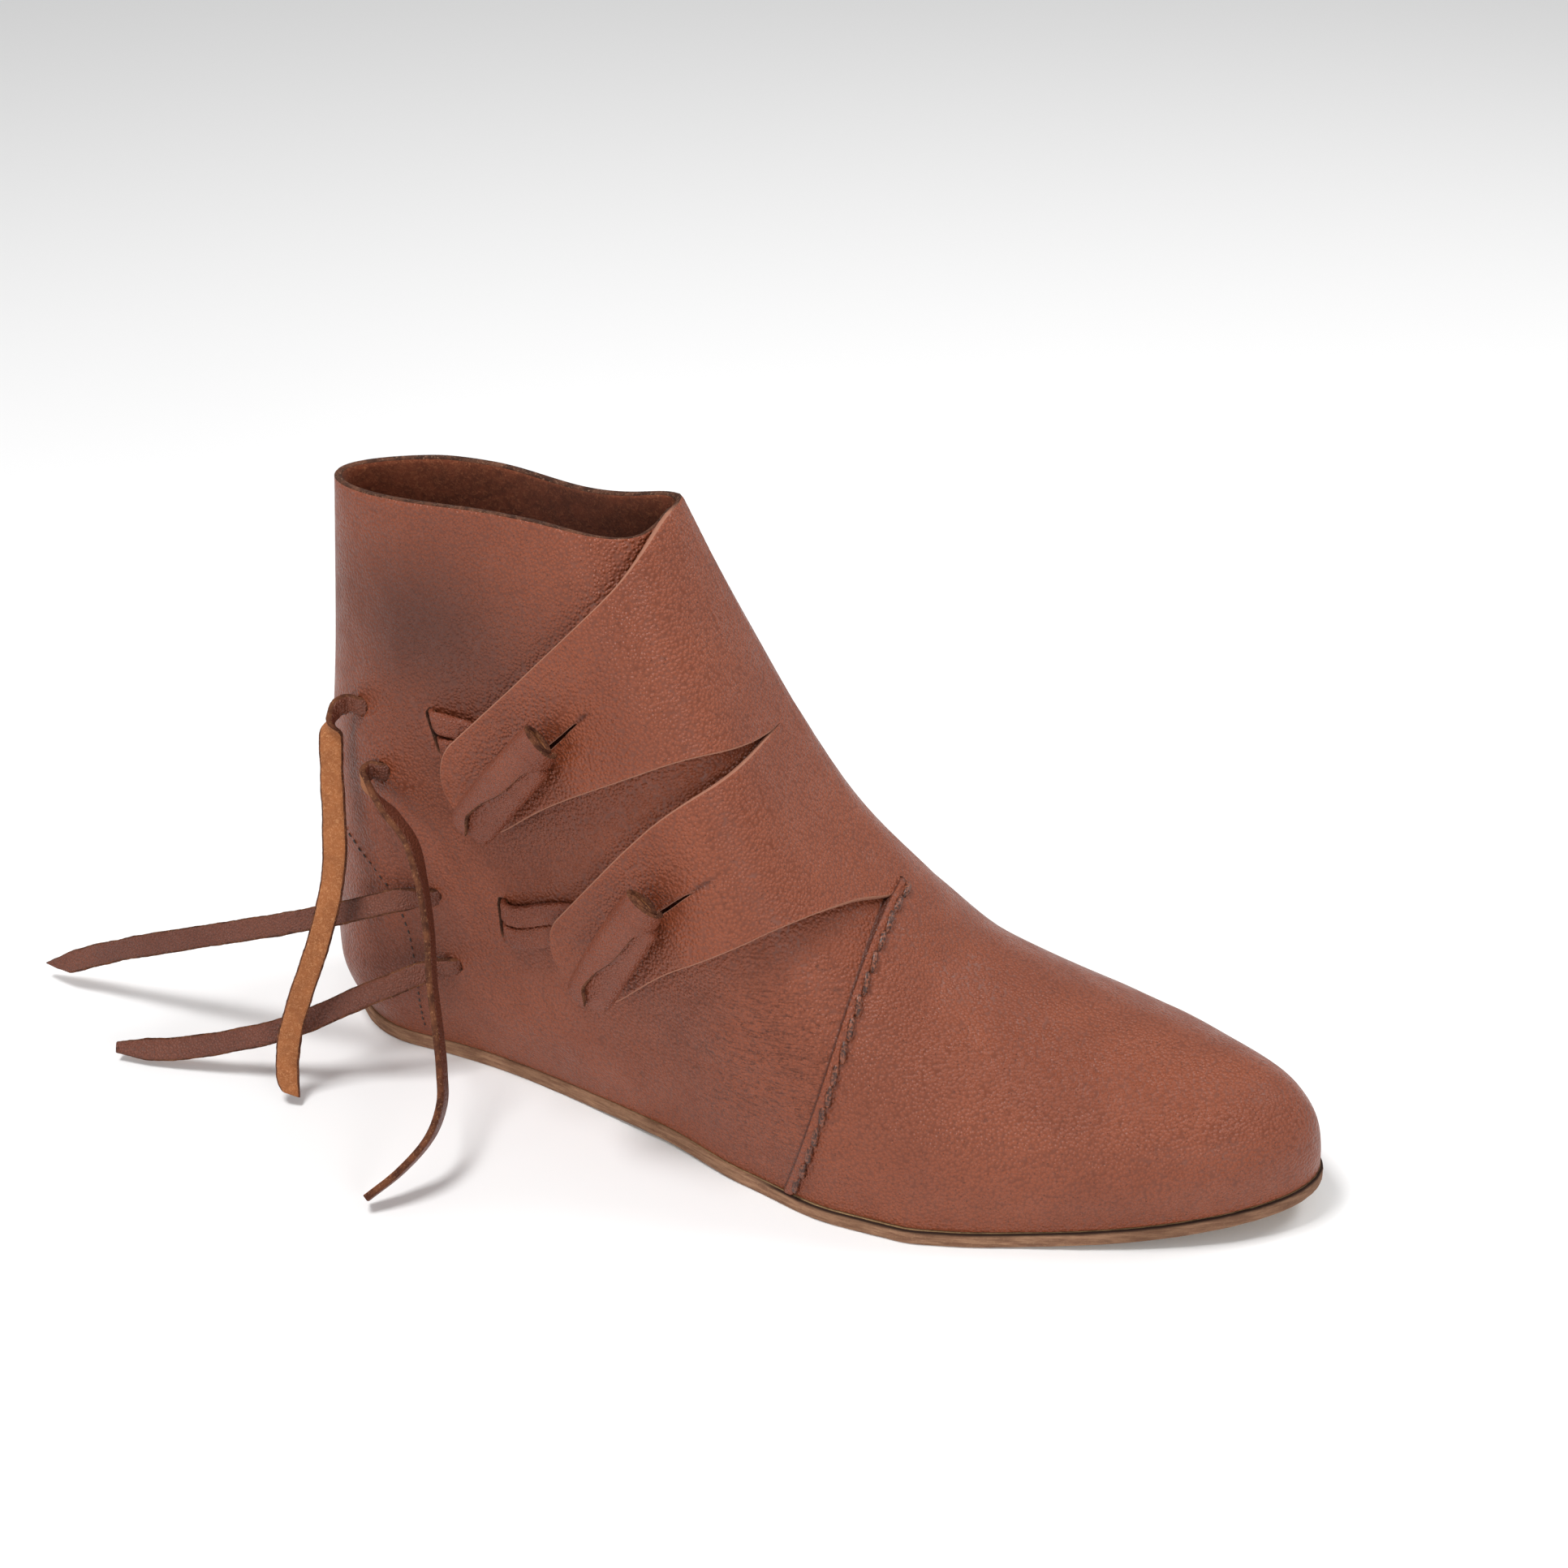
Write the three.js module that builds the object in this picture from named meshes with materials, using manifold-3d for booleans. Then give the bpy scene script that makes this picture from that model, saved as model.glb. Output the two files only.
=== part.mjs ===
// A right-foot turned ankle shoe: one wrapped leather upper with two instep flaps that lap over the
// outer quarter, two rolled leather toggles whose strands run through the quarter and out at the heel,
// a leather sole and an insole. Millimetres, toe towards +X, inner side of the foot towards +Y, +Z up.
// The origin is on the floor under the centre of the heel.
import * as THREE from "three";
import { mergeVertices } from "three/addons/utils/BufferGeometryUtils.js";
import Module from "manifold-3d";

const wasm = await Module();
wasm.setup();

// Driving sizes
const shoeLength = 285;
const ballWidth = 97;
const heelWidth = 58;
const collarHeight = 164;
const collarFrontRise = 10;
const collarFrontReach = 110;
const throatReach = 171;
const throatHeight = 73.5;
const leather = 2;
const seat = 0.35;
const soleThickness = 4.6;
const soleHeelInset = 4;
const soleProud = 1;
const toeSpring = 8;
const archLift = 1;
const insoleThickness = 2;
const heelRestCentre = 38;

// Seam, flap and toggle sizes
const seamWidth = 3.2;
const seamRaise = 0.8;
const flapEndRadius = 13;
const slitLength = 30;
const slitWidth = 1.4;
const toggleLength = 38;
const toggleRadius = 5.8;
const rollStep = 1.6;
const thongWidth = 6.4;
const thongThickness = 2;
const gatheredWidth = 3.4;
const slotWidth = 7.6;
const holeRadius = 3.8;
const clearance = 0.4;

const lateral = -1;
const medial = 1;

// The least rise or straight run that a shape is worked out from.
const least = 0.3;

// A value between the rows of a table, along one column and for another, without overshoot.
function along(rows, key, column, at) {
  const last = rows.length - 1;
  if (at <= rows[0][key]) return rows[0][column];
  if (at >= rows[last][key]) return rows[last][column];
  let i = 0;
  while (rows[i + 1][key] < at) i++;
  const slope = (k) => (rows[k + 1][column] - rows[k][column]) / (rows[k + 1][key] - rows[k][key]);
  const tangent = (k) => {
    if (k === 0) return slope(0);
    if (k === last) return slope(last - 1);
    const before = slope(k - 1);
    const after = slope(k);
    return before * after <= 0 ? 0 : (2 * before * after) / (before + after);
  };
  const width = rows[i + 1][key] - rows[i][key];
  const t = (at - rows[i][key]) / width;
  const rise = rows[i + 1][column] - rows[i][column];
  const a = tangent(i) * width;
  const b = tangent(i + 1) * width;
  return rows[i][column] + t * a + t * t * (3 * rise - 2 * a - b) + t * t * t * (a + b - 2 * rise);
}

const clamp01 = (t) => Math.min(1, Math.max(0, t));
const smooth = (t) => clamp01(t) ** 2 * (3 - 2 * clamp01(t));
const mix = (a, b, t) => a + (b - a) * t;
const roundEnd = (t) => Math.sqrt(1 - (1 - clamp01(t)) ** 2);

// Outline of the foot in plan, at shares of the length: half widths as shares of the foot's width,
// which grows from the heel width to the ball width. The sole columns are the sole's own outline, the
// body columns the widest stretch of the upper above it.
const outline = [
  { at: 0.0, soleLateral: 0.418, soleMedial: 0.418, bodyLateral: 0.493, bodyMedial: 0.493 },
  { at: 0.14, soleLateral: 0.438, soleMedial: 0.438, bodyLateral: 0.505, bodyMedial: 0.505 },
  { at: 0.29, soleLateral: 0.425, soleMedial: 0.358, bodyLateral: 0.47, bodyMedial: 0.434 },
  { at: 0.4, soleLateral: 0.434, soleMedial: 0.314, bodyLateral: 0.445, bodyMedial: 0.389 },
  { at: 0.5, soleLateral: 0.495, soleMedial: 0.35, bodyLateral: 0.496, bodyMedial: 0.405 },
  { at: 0.6, soleLateral: 0.558, soleMedial: 0.43, bodyLateral: 0.552, bodyMedial: 0.45 },
  { at: 0.66, soleLateral: 0.556, soleMedial: 0.46, bodyLateral: 0.55, bodyMedial: 0.472 },
  { at: 0.7, soleLateral: 0.53, soleMedial: 0.472, bodyLateral: 0.527, bodyMedial: 0.482 },
  { at: 0.77, soleLateral: 0.458, soleMedial: 0.46, bodyLateral: 0.464, bodyMedial: 0.472 },
  { at: 0.83, soleLateral: 0.397, soleMedial: 0.404, bodyLateral: 0.406, bodyMedial: 0.425 },
  { at: 0.9, soleLateral: 0.346, soleMedial: 0.318, bodyLateral: 0.358, bodyMedial: 0.35 },
  { at: 1.0, soleLateral: 0.29, soleMedial: 0.25, bodyLateral: 0.31, bodyMedial: 0.29 },
];
const heelEnd = 0.14;
const waistEnd = 0.5;
const heelRoundLow = 0.095 * shoeLength;
const heelRoundHigh = 0.16 * shoeLength;
const toeRoundLength = { sole: 0.2 * shoeLength, body: 0.165 * shoeLength };

// Half width in plan of the sole or of the body of the upper, between its own heel and toe ends.
function planHalf(kind, side, x, start, end, heelRound) {
  const at = x / shoeLength;
  const footWidth = mix(heelWidth, ballWidth, smooth((at - heelEnd) / (waistEnd - heelEnd)));
  const share = along(outline, "at", kind + (side === lateral ? "Lateral" : "Medial"), at);
  return share * footWidth * roundEnd((x - start) / heelRound) * roundEnd((end - x) / toeRoundLength[kind]);
}
const soleHalf = (side, x) => planHalf("sole", side, x, soleHeelInset, shoeLength, heelRoundLow);

// The floor side of the sole: flat at heel and ball, lifted at the arch and towards the toe.
const heelFlatEnd = 0.26 * shoeLength;
const ballFlatStart = 0.53 * shoeLength;
const ballFlatEnd = 0.71 * shoeLength;
const springPower = 1.8;
function soleBottom(x) {
  if (x <= heelFlatEnd) return 0;
  if (x < ballFlatStart) {
    const t = (x - heelFlatEnd) / (ballFlatStart - heelFlatEnd);
    return archLift * Math.sin(Math.PI * t) ** 2;
  }
  return toeSpring * clamp01((x - ballFlatEnd) / (shoeLength - ballFlatEnd)) ** springPower;
}
const feather = (x) => soleBottom(x) + soleThickness;
const toeReach = shoeLength - soleProud;

// The back line of the upper, as shares of the collar height and of the length.
const backLine = [
  { height: 0.03, inset: 0.014 },
  { height: 0.07, inset: 0.003 },
  { height: 0.13, inset: 0.0 },
  { height: 0.34, inset: 0.004 },
  { height: 0.52, inset: 0.009 },
  { height: 0.72, inset: 0.02 },
  { height: 1.0, inset: 0.032 },
];
const backX = (z) => along(backLine, "height", "inset", z / collarHeight) * shoeLength;

// The ridge over the vamp. Its rows go by the root of the way from the toe to the throat, so that the
// toe end is round, and give shares of the rise from the toe to the throat.
const vampRidge = [
  { root: 0.0, rise: 0.0 },
  { root: 0.135, rise: 0.22 },
  { root: 0.25, rise: 0.33 },
  { root: 0.35, rise: 0.4 },
  { root: 0.555, rise: 0.48 },
  { root: 0.695, rise: 0.535 },
  { root: 0.81, rise: 0.615 },
  { root: 0.913, rise: 0.74 },
  { root: 1.0, rise: 1.0 },
];
// The ridge over the instep, as shares of the way and of the rise from the collar to the throat. Its
// first row carries the line on behind the collar, where the walls still lean towards it.
const instepRidge = [
  { reach: -1.0, rise: 2.15 },
  { reach: 0.0, rise: 1.0 },
  { reach: 0.22, rise: 0.72 },
  { reach: 0.44, rise: 0.455 },
  { reach: 0.7, rise: 0.2 },
  { reach: 1.0, rise: 0.0 },
];
const collarFrontHeight = collarHeight + collarFrontRise;
function ridgeHeight(x) {
  if (x >= throatReach) {
    const root = Math.sqrt(clamp01((toeReach - x) / (toeReach - throatReach)));
    return mix(feather(toeReach), throatHeight, along(vampRidge, "root", "rise", root));
  }
  const reach = (x - collarFrontReach) / (throatReach - collarFrontReach);
  return mix(throatHeight, collarFrontHeight, along(instepRidge, "reach", "rise", reach));
}

// How the shaft narrows with height, as shares of the body's width at its back and at its front.
const shaft = [
  { height: 0.14, lateralBack: 1.0, lateralFront: 1.0, medialBack: 1.0, medialFront: 1.0 },
  { height: 0.4, lateralBack: 0.96, lateralFront: 1.0, medialBack: 0.96, medialFront: 0.93 },
  { height: 0.7, lateralBack: 0.84, lateralFront: 0.93, medialBack: 0.84, medialFront: 0.68 },
  { height: 1.05, lateralBack: 0.62, lateralFront: 0.78, medialBack: 0.64, medialFront: 0.2 },
];
const shaftBack = 0.18 * shoeLength;
const shaftFront = 0.36 * shoeLength;

// Half width of the outer face of the upper at a place in the side view. The wall starts just inside
// the sole's edge, bellies out over the bulge height and closes over the ridge.
const bulgeHeight = 0.136 * collarHeight;
const vampPower = { lateral: 2.3, medial: 1.75 };
const instepPower = { lateral: 6.0, medial: 1.5 };
const seatShare = 1 - soleProud / (ballWidth / 2);
function bodyHalf(side, x, z) {
  const hand = side === lateral ? "lateral" : "medial";
  const ground = feather(x);
  const belly = Math.sin((clamp01((z - ground) / bulgeHeight) * Math.PI) / 2);
  const back = backX(z);
  const heelRound = mix(heelRoundLow, heelRoundHigh, smooth(z / collarHeight));
  const lowBack = mix(soleHeelInset + soleProud, back, belly);
  const low = planHalf("sole", side, x, lowBack, toeReach, heelRound) * seatShare;
  const wide = planHalf("body", side, x, back, toeReach, heelRound);
  const height = z / collarHeight;
  const behind = along(shaft, "height", hand + "Back", height);
  const ahead = along(shaft, "height", hand + "Front", height);
  const slim = mix(behind, ahead, smooth((x - shaftBack) / (shaftFront - shaftBack)));
  const lift = clamp01((z - ground) / Math.max(ridgeHeight(x) - ground, least));
  const onInstep = smooth((throatReach - x) / (throatReach - collarFrontReach));
  const power = mix(vampPower[hand], instepPower[hand], onInstep);
  return mix(low, wide, belly) * slim * Math.sqrt(1 - lift ** power);
}

// The ridge as a path by its run, from the toe to the front of the collar.
const ridgeSteps = 200;
const ridgePath = [];
for (let i = 0; i <= ridgeSteps; i++) {
  const t = i / ridgeSteps;
  const x = mix(toeReach, collarFrontReach, t * t);
  const z = ridgeHeight(x);
  const before = ridgePath[i - 1];
  const run = before ? before.run + Math.hypot(x - before.x, z - before.z) : 0;
  ridgePath.push({ x, z, run });
}
const ridgeRun = ridgePath[ridgeSteps].run;
function ridgePoint(share) {
  const run = clamp01(share) * ridgeRun;
  return { x: along(ridgePath, "run", "x", run), z: along(ridgePath, "run", "z", run) };
}
const throatShare = ridgePath.find((p) => p.x <= throatReach).run / ridgeRun;
const ridgeDistance = (p) => Math.min(...ridgePath.map((r) => Math.hypot(p.x - r.x, p.y, p.z - r.z)));

// Sections of the last, from the toe to the collar. Each leaves the sole at a share of the length, or
// the back line at a share of the collar height, and meets the ridge at a share of its run, bowed
// forward between them by a share of the length.
const seamFoot = 0.556;
const seamBow = 0.011;
const seamShare = seamWidth / shoeLength;
const seamRing = 15;
const heelRing = 25;
const lastRing = 35;
const sections = [
  { name: "toe", ring: 0, base: 0.93, ridge: 0.0, bow: 0.0 },
  { name: "toe cap", ring: 6, base: 0.83, ridge: 0.17, bow: 0.004 },
  { name: "ball", ring: 11, base: 0.7, ridge: 0.34, bow: 0.01 },
  { name: "seam front", ring: seamRing, base: seamFoot, ridge: throatShare, bow: seamBow },
  {
    name: "seam back",
    ring: seamRing + 1,
    base: seamFoot - seamShare,
    ridge: throatShare + seamShare,
    bow: seamBow,
  },
  { name: "instep", ring: 20, base: 0.26, ridge: 0.67, bow: 0.0 },
  { name: "heel side", ring: 22, base: 0.11, ridge: 0.725, bow: 0.0 },
  { name: "heel corner", ring: 24, base: 0.027, ridge: 0.765, bow: 0.0 },
  { name: "heel", ring: heelRing, base: 0.0175, ridge: 0.78, bow: 0.0 },
];
const shaftSections = [
  { name: "heel", ring: heelRing, base: 0.0, ridge: 0.78, bow: 0.0 },
  { name: "ankle", ring: 30, base: 0.5, ridge: 0.885, bow: 0.0 },
  { name: "collar", ring: lastRing, base: 1.0, ridge: 1.0, bow: 0.0 },
];

// The collar's rim rises and dips along each side, as shares of the collar height.
const rimWave = [
  { at: 0.0, lateral: 0.0, medial: 0.0 },
  { at: 0.3, lateral: 0.0, medial: 0.0 },
  { at: 0.6, lateral: -0.005, medial: -0.025 },
  { at: 0.85, lateral: -0.03, medial: -0.005 },
  { at: 1.0, lateral: 0.0, medial: 0.0 },
];
const waveStart = 0.75;

// A place on the outer face: a ring from toe to collar, and a share from its base up to the ridge.
function facePlace(side, ring, share) {
  const rows = ring <= heelRing ? sections : shaftSections;
  const baseShare = along(rows, "ring", "base", ring);
  let base = { x: baseShare * shoeLength, z: feather(baseShare * shoeLength) };
  if (ring > heelRing) {
    const z = mix(feather(0), collarHeight, baseShare);
    base = { x: backX(z), z };
  } else if (ring === heelRing) {
    base = { x: soleHeelInset + soleProud, z: feather(0) };
  }
  const top = ridgePoint(along(rows, "ring", "ridge", ring));
  const a = (1 - Math.cos(Math.PI * share)) / 2;
  const bow = along(rows, "ring", "bow", ring) * shoeLength * 4 * a * (1 - a);
  const x = mix(base.x, top.x, a) + bow;
  const z = mix(base.z, top.z, a);
  const y = side * bodyHalf(side, x, z);
  const fade = smooth((ring / lastRing - waveStart) / (1 - waveStart));
  const wave = along(rimWave, "at", side === lateral ? "lateral" : "medial", share) * collarHeight;
  return { side, ring, share, point: new THREE.Vector3(x, y, z + fade * wave) };
}

// Near the ridge the outer quarter lies one leather lower than the flaps that cover it.
const tuckStart = 6;
const tuckLength = 34;
const tuck = (away) => (leather + seat) * (1 - smooth((away - tuckStart) / tuckLength));
function bodyOffset({ side, ring, share, point }) {
  if (side === medial || share === 1 || share === 0) return 0;
  const away = ridgeDistance(point);
  if (ring > seamRing && ring < seamRing + 1) return seamRaise * smooth(away / tuckStart);
  if (ring <= seamRing) return 0;
  return -tuck(away) * smooth(away / tuckStart);
}

// A sheet: a grid of places, their shared corners merged, with the normal of each.
const weldStep = 1e-3;
function sheet(rows, columns, placeAt) {
  const places = [];
  const seen = new Map();
  const numberOf = (place) => {
    const key = place.point.toArray().map((v) => Math.round(v / weldStep)).join();
    if (!seen.has(key)) {
      seen.set(key, places.length);
      places.push({ ...place, normal: new THREE.Vector3() });
    }
    return seen.get(key);
  };
  const grid = rows.map((row) => columns.map((column) => numberOf(placeAt(row, column))));
  const faces = [];
  const addFace = (a, b, c) => {
    if (a === b || b === c || c === a) return;
    faces.push([a, b, c]);
    const [p, q, r] = [a, b, c].map((i) => places[i].point);
    const normal = q.clone().sub(p).cross(r.clone().sub(p));
    for (const i of [a, b, c]) places[i].normal.add(normal);
  };
  for (let i = 0; i + 1 < rows.length; i++) {
    for (let j = 0; j + 1 < columns.length; j++) {
      addFace(grid[i][j], grid[i][j + 1], grid[i + 1][j]);
      addFace(grid[i][j + 1], grid[i + 1][j + 1], grid[i + 1][j]);
    }
  }
  for (const place of places) place.normal.normalize();
  return { places, faces };
}

// A sheet given thickness between two distances along its normals, its open edges closed by a rim.
function thickened({ places, faces }, outerAt, innerAt) {
  const count = places.length;
  const points = [];
  for (const offsetAt of [outerAt, innerAt]) {
    for (const place of places) {
      const { point, normal } = place;
      const level = clamp01((point.z - feather(point.x)) / (2 * leather));
      const away = normal.clone().setZ(normal.z * level).normalize();
      points.push(point.clone().addScaledVector(away, offsetAt(place)));
    }
  }
  const index = [];
  const open = new Map();
  for (const [a, b, c] of faces) {
    index.push(a, b, c, c + count, b + count, a + count);
    for (const [from, to] of [[a, b], [b, c], [c, a]]) {
      if (!open.delete(to + ":" + from)) open.set(from + ":" + to, [from, to]);
    }
  }
  for (const [a, b] of open.values()) index.push(b, a, a + count, b, a + count, b + count);
  return geometryFrom(points, index);
}

function geometryFrom(points, index) {
  const geometry = new THREE.BufferGeometry();
  geometry.setAttribute("position", new THREE.Float32BufferAttribute(points.flatMap((p) => p.toArray()), 3));
  geometry.setIndex(index);
  return geometry;
}

function solid(geometry) {
  const plain = new THREE.BufferGeometry();
  plain.setAttribute("position", geometry.getAttribute("position"));
  plain.setIndex(geometry.index);
  const merged = mergeVertices(plain, weldStep);
  const corners = merged.index.array;
  const kept = [];
  for (let i = 0; i < corners.length; i += 3) {
    const [a, b, c] = corners.slice(i, i + 3);
    if (a !== b && b !== c && c !== a) kept.push(a, b, c);
  }
  const vertProperties = merged.getAttribute("position").array;
  return new wasm.Manifold(new wasm.Mesh({ numProp: 3, vertProperties, triVerts: new Uint32Array(kept) }));
}

function meshOf(manifold, name, material) {
  const { vertProperties, triVerts } = manifold.getMesh();
  const geometry = new THREE.BufferGeometry();
  geometry.setAttribute("position", new THREE.BufferAttribute(vertProperties, 3));
  geometry.setIndex(new THREE.BufferAttribute(triVerts, 1));
  geometry.computeVertexNormals();
  const mesh = new THREE.Mesh(geometry, material);
  mesh.name = name;
  return mesh;
}

// A solid lofted through rings of equal count, closed by a fan at each end.
function lofted(rings) {
  const count = rings[0].length;
  const points = rings.flat();
  const index = [];
  for (let i = 0; i + 1 < rings.length; i++) {
    for (let j = 0; j < count; j++) {
      const a = i * count + j;
      const b = i * count + ((j + 1) % count);
      index.push(a, b, a + count, b, b + count, a + count);
    }
  }
  for (const [ring, turn] of [[0, 1], [rings.length - 1, 0]]) {
    const middle = points.length;
    const corners = rings[ring];
    points.push(corners.reduce((sum, p) => sum.add(p), new THREE.Vector3()).divideScalar(count));
    for (let j = 0; j < count; j++) {
      const a = ring * count + j;
      const b = ring * count + ((j + 1) % count);
      index.push(...(turn ? [middle, b, a] : [middle, a, b]));
    }
  }
  const geometry = geometryFrom(points, index);
  const made = solid(geometry);
  if (made.volume() > 0) return made;
  for (let i = 0; i < index.length; i += 3) [index[i], index[i + 1]] = [index[i + 1], index[i]];
  return solid(geometryFrom(points, index));
}

// The outer side in the side view

// The outer face at a place in the side view: its point moved off the face, and its own directions.
const probe = 0.5;
function onFace(x, z, off) {
  const at = (px, pz) => new THREE.Vector3(px, lateral * bodyHalf(lateral, px, pz), pz);
  const forward = at(x + probe, z).sub(at(x - probe, z)).normalize();
  const upward = at(x, z + probe).sub(at(x, z - probe)).normalize();
  const normal = upward.clone().cross(forward).normalize();
  if (normal.y > 0) normal.negate();
  return { point: at(x, z).addScaledVector(normal, off), forward, upward, normal };
}
const sidePlace = ({ reach, height }) => ({ x: reach * throatReach, z: height * collarHeight });

// A cutter through the outer side: a rounded slot with its long axis turned from the forward line.
const cutDepth = 14;
const slotEndSteps = 5;
function slotCutter(place, long, wide, turn) {
  const shape = new THREE.Shape();
  const straight = Math.max(long - wide, least) / 2;
  shape.absarc(straight, 0, wide / 2, -Math.PI / 2, Math.PI / 2, false);
  shape.absarc(-straight, 0, wide / 2, Math.PI / 2, (3 * Math.PI) / 2, false);
  const geometry = new THREE.ExtrudeGeometry(shape, {
    depth: cutDepth,
    bevelEnabled: false,
    curveSegments: slotEndSteps,
  });
  geometry.deleteAttribute("normal");
  geometry.deleteAttribute("uv");
  geometry.translate(0, 0, -cutDepth / 2);
  geometry.rotateZ(turn);
  const { point, normal } = onFace(place.x, place.z, 0);
  const forward = new THREE.Vector3(1, 0, 0).addScaledVector(normal, -normal.x).normalize();
  const upward = normal.clone().cross(forward).negate();
  if (upward.z < 0) upward.negate();
  const inward = forward.clone().cross(upward);
  geometry.applyMatrix4(new THREE.Matrix4().makeBasis(forward, upward, inward).setPosition(point));
  return solid(mergeVertices(geometry, weldStep));
}

// The toggles: centre, lean of the barrel from the forward line, slit's direction, and the slot and
// holes of their strands. Here and on the flaps, reach is a share of the way from heel to throat and
// height a share of the collar's height.
const toggles = [
  {
    name: "upper",
    centre: { reach: 0.4594, height: 0.6399 },
    lean: 53,
    slitLean: 48,
    slot: { reach: 0.2713, height: 0.6466 },
    slotLean: 109,
    holes: [{ reach: 0.1298, height: 0.6463 }, { reach: 0.1755, height: 0.55 }],
  },
  {
    name: "lower",
    centre: { reach: 0.6532, height: 0.422 },
    lean: 61,
    slitLean: 45,
    slot: { reach: 0.3833, height: 0.337 },
    slotLean: 94,
    holes: [{ reach: 0.259, height: 0.3378 }, { reach: 0.2883, height: 0.2104 }],
  },
];
const radians = (degrees) => (degrees * Math.PI) / 180;

// The flaps in the side view: the centre of the round end, and the points of the long edges between
// that end and the ridge.
const notchShare = 0.755;
const flaps = [
  {
    end: { reach: 0.3795, height: 0.5927 },
    top: [{ reach: 0.5906, height: 0.9555 }, { reach: 0.4749, height: 0.8116 }],
    bottom: [
      { reach: 0.5146, height: 0.6037 },
      { reach: 0.6164, height: 0.672 },
      { reach: 0.7205, height: 0.7256 },
    ],
    ridge: [1.0, notchShare],
  },
  {
    end: { reach: 0.5807, height: 0.353 },
    top: [{ reach: 0.7322, height: 0.6628 }, { reach: 0.6462, height: 0.5677 }],
    bottom: [
      { reach: 0.6901, height: 0.3512 },
      { reach: 0.7591, height: 0.4091 },
      { reach: 0.8538, height: 0.4713 },
      { reach: 0.9433, height: 0.4756 },
    ],
    ridge: [notchShare, throatShare],
  },
];
const flapEndSteps = 10;
const flapEdgeSteps = 5;
const ridgeMargin = 9;

function flapOutline(flap) {
  const [start, finish] = flap.ridge.map(ridgePoint);
  const centre = sidePlace(flap.end);
  const top = flap.top.map(sidePlace);
  const bottom = flap.bottom.map(sidePlace);
  // The turn at which a line from a point touches the round end on the given hand.
  const touch = (p, hand) => {
    const reach = Math.hypot(p.x - centre.x, p.z - centre.z);
    return Math.atan2(p.z - centre.z, p.x - centre.x) + hand * Math.acos(flapEndRadius / reach);
  };
  const from = touch(top[top.length - 1], 1);
  const sweep = (touch(bottom[0], -1) - from + 4 * Math.PI) % (2 * Math.PI);
  const round = [];
  for (let i = 0; i <= flapEndSteps; i++) {
    const turn = from + (sweep * i) / flapEndSteps;
    const reach = flapEndRadius * Math.cos(turn);
    round.push({ x: centre.x + reach, z: centre.z + flapEndRadius * Math.sin(turn) });
  }
  const toVector = (p) => new THREE.Vector2(p.x, p.z);
  const edge = (points) => {
    const curve = new THREE.SplineCurve(points.map(toVector));
    return curve.getPoints(flapEdgeSteps * (points.length - 1));
  };
  const beyond = (p) => new THREE.Vector2(p.x + ridgeMargin, p.z + ridgeMargin / 2);
  return [
    ...edge([start, ...top, round[0]]),
    ...round.slice(1, -1).map(toVector),
    ...edge([round[flapEndSteps], ...bottom, finish]),
    beyond(finish),
    beyond(start),
  ];
}

// A prism across the outer side from an outline in the side view, reaching a little past the ridge.
const prismNear = 14;
function sidePrism(points) {
  const depth = ballWidth;
  const geometry = new THREE.ExtrudeGeometry(new THREE.Shape(points), { depth, bevelEnabled: false });
  geometry.deleteAttribute("normal");
  geometry.deleteAttribute("uv");
  geometry.rotateX(Math.PI / 2);
  geometry.translate(0, prismNear, 0);
  return solid(mergeVertices(geometry, weldStep));
}

// How far the flap's outer face stands off the last: flush with the wall at the ridge, then over the
// quarter, and at its end over the strands as well.
const rootOverlap = 0.3;
const flapRise = thongThickness + seat + clearance;
const riseStart = 12;
const riseLength = 26;
function flapOffset({ side, share, point }) {
  const away = ridgeDistance(point);
  if (side === medial || share === 1) return -rootOverlap;
  return leather + seat - tuck(away) + (flapRise + clearance) * smooth((away - riseStart) / riseLength);
}

// Upper

const across = 10;
const bodyColumns = [];
for (let i = 0; i <= across; i++) bodyColumns.push({ side: lateral, share: i / across });
for (let i = across - 1; i >= 0; i--) bodyColumns.push({ side: medial, share: i / across });
const bodyRings = [];
const seamEdge = 0.14;
for (let i = 0; i <= lastRing; i++) {
  bodyRings.push(i);
  if (i === seamRing) bodyRings.push(i + seamEdge, i + 1 - seamEdge);
}
const placeAt = (ring, { side, share }) => facePlace(side, ring, share);

const flapColumns = [];
const flapAcross = 11;
const flapLow = 0.2;
for (let i = 0; i <= flapAcross; i++) {
  flapColumns.push({ side: lateral, share: mix(flapLow, 1, i / flapAcross) });
}
flapColumns.push({ side: medial, share: 1 - 1 / flapAcross });
const flapRings = [];
for (let i = seamRing - 2; i <= lastRing; i++) flapRings.push(i);

// The opening over the instep: a strip beside the ridge on the outer side, which the flaps cover.
const openingNear = 1;
const openingFar = 5.6;
const openingDepth = 7;
const openingSteps = 14;
function instepOpening() {
  const rings = [];
  for (let i = 0; i <= openingSteps; i++) {
    const share = mix(throatShare + seamShare, 1, i / openingSteps);
    const here = ridgePoint(share);
    const ahead = ridgePoint(Math.min(share + seamShare, 1));
    const behind = ridgePoint(share - seamShare);
    const run = new THREE.Vector3(ahead.x - behind.x, 0, ahead.z - behind.z).normalize();
    const out = new THREE.Vector3(-run.z, 0, run.x);
    if (out.z < 0) out.negate();
    const over = i === openingSteps ? openingDepth : 0;
    const at = (y, depth) => {
      const corner = new THREE.Vector3(here.x, y, here.z);
      return corner.addScaledVector(out, depth).addScaledVector(run, over);
    };
    rings.push([
      at(-openingNear, leather),
      at(-openingFar, leather),
      at(-openingFar, -openingDepth),
      at(-openingNear, -openingDepth),
    ]);
  }
  return lofted(rings);
}

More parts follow.
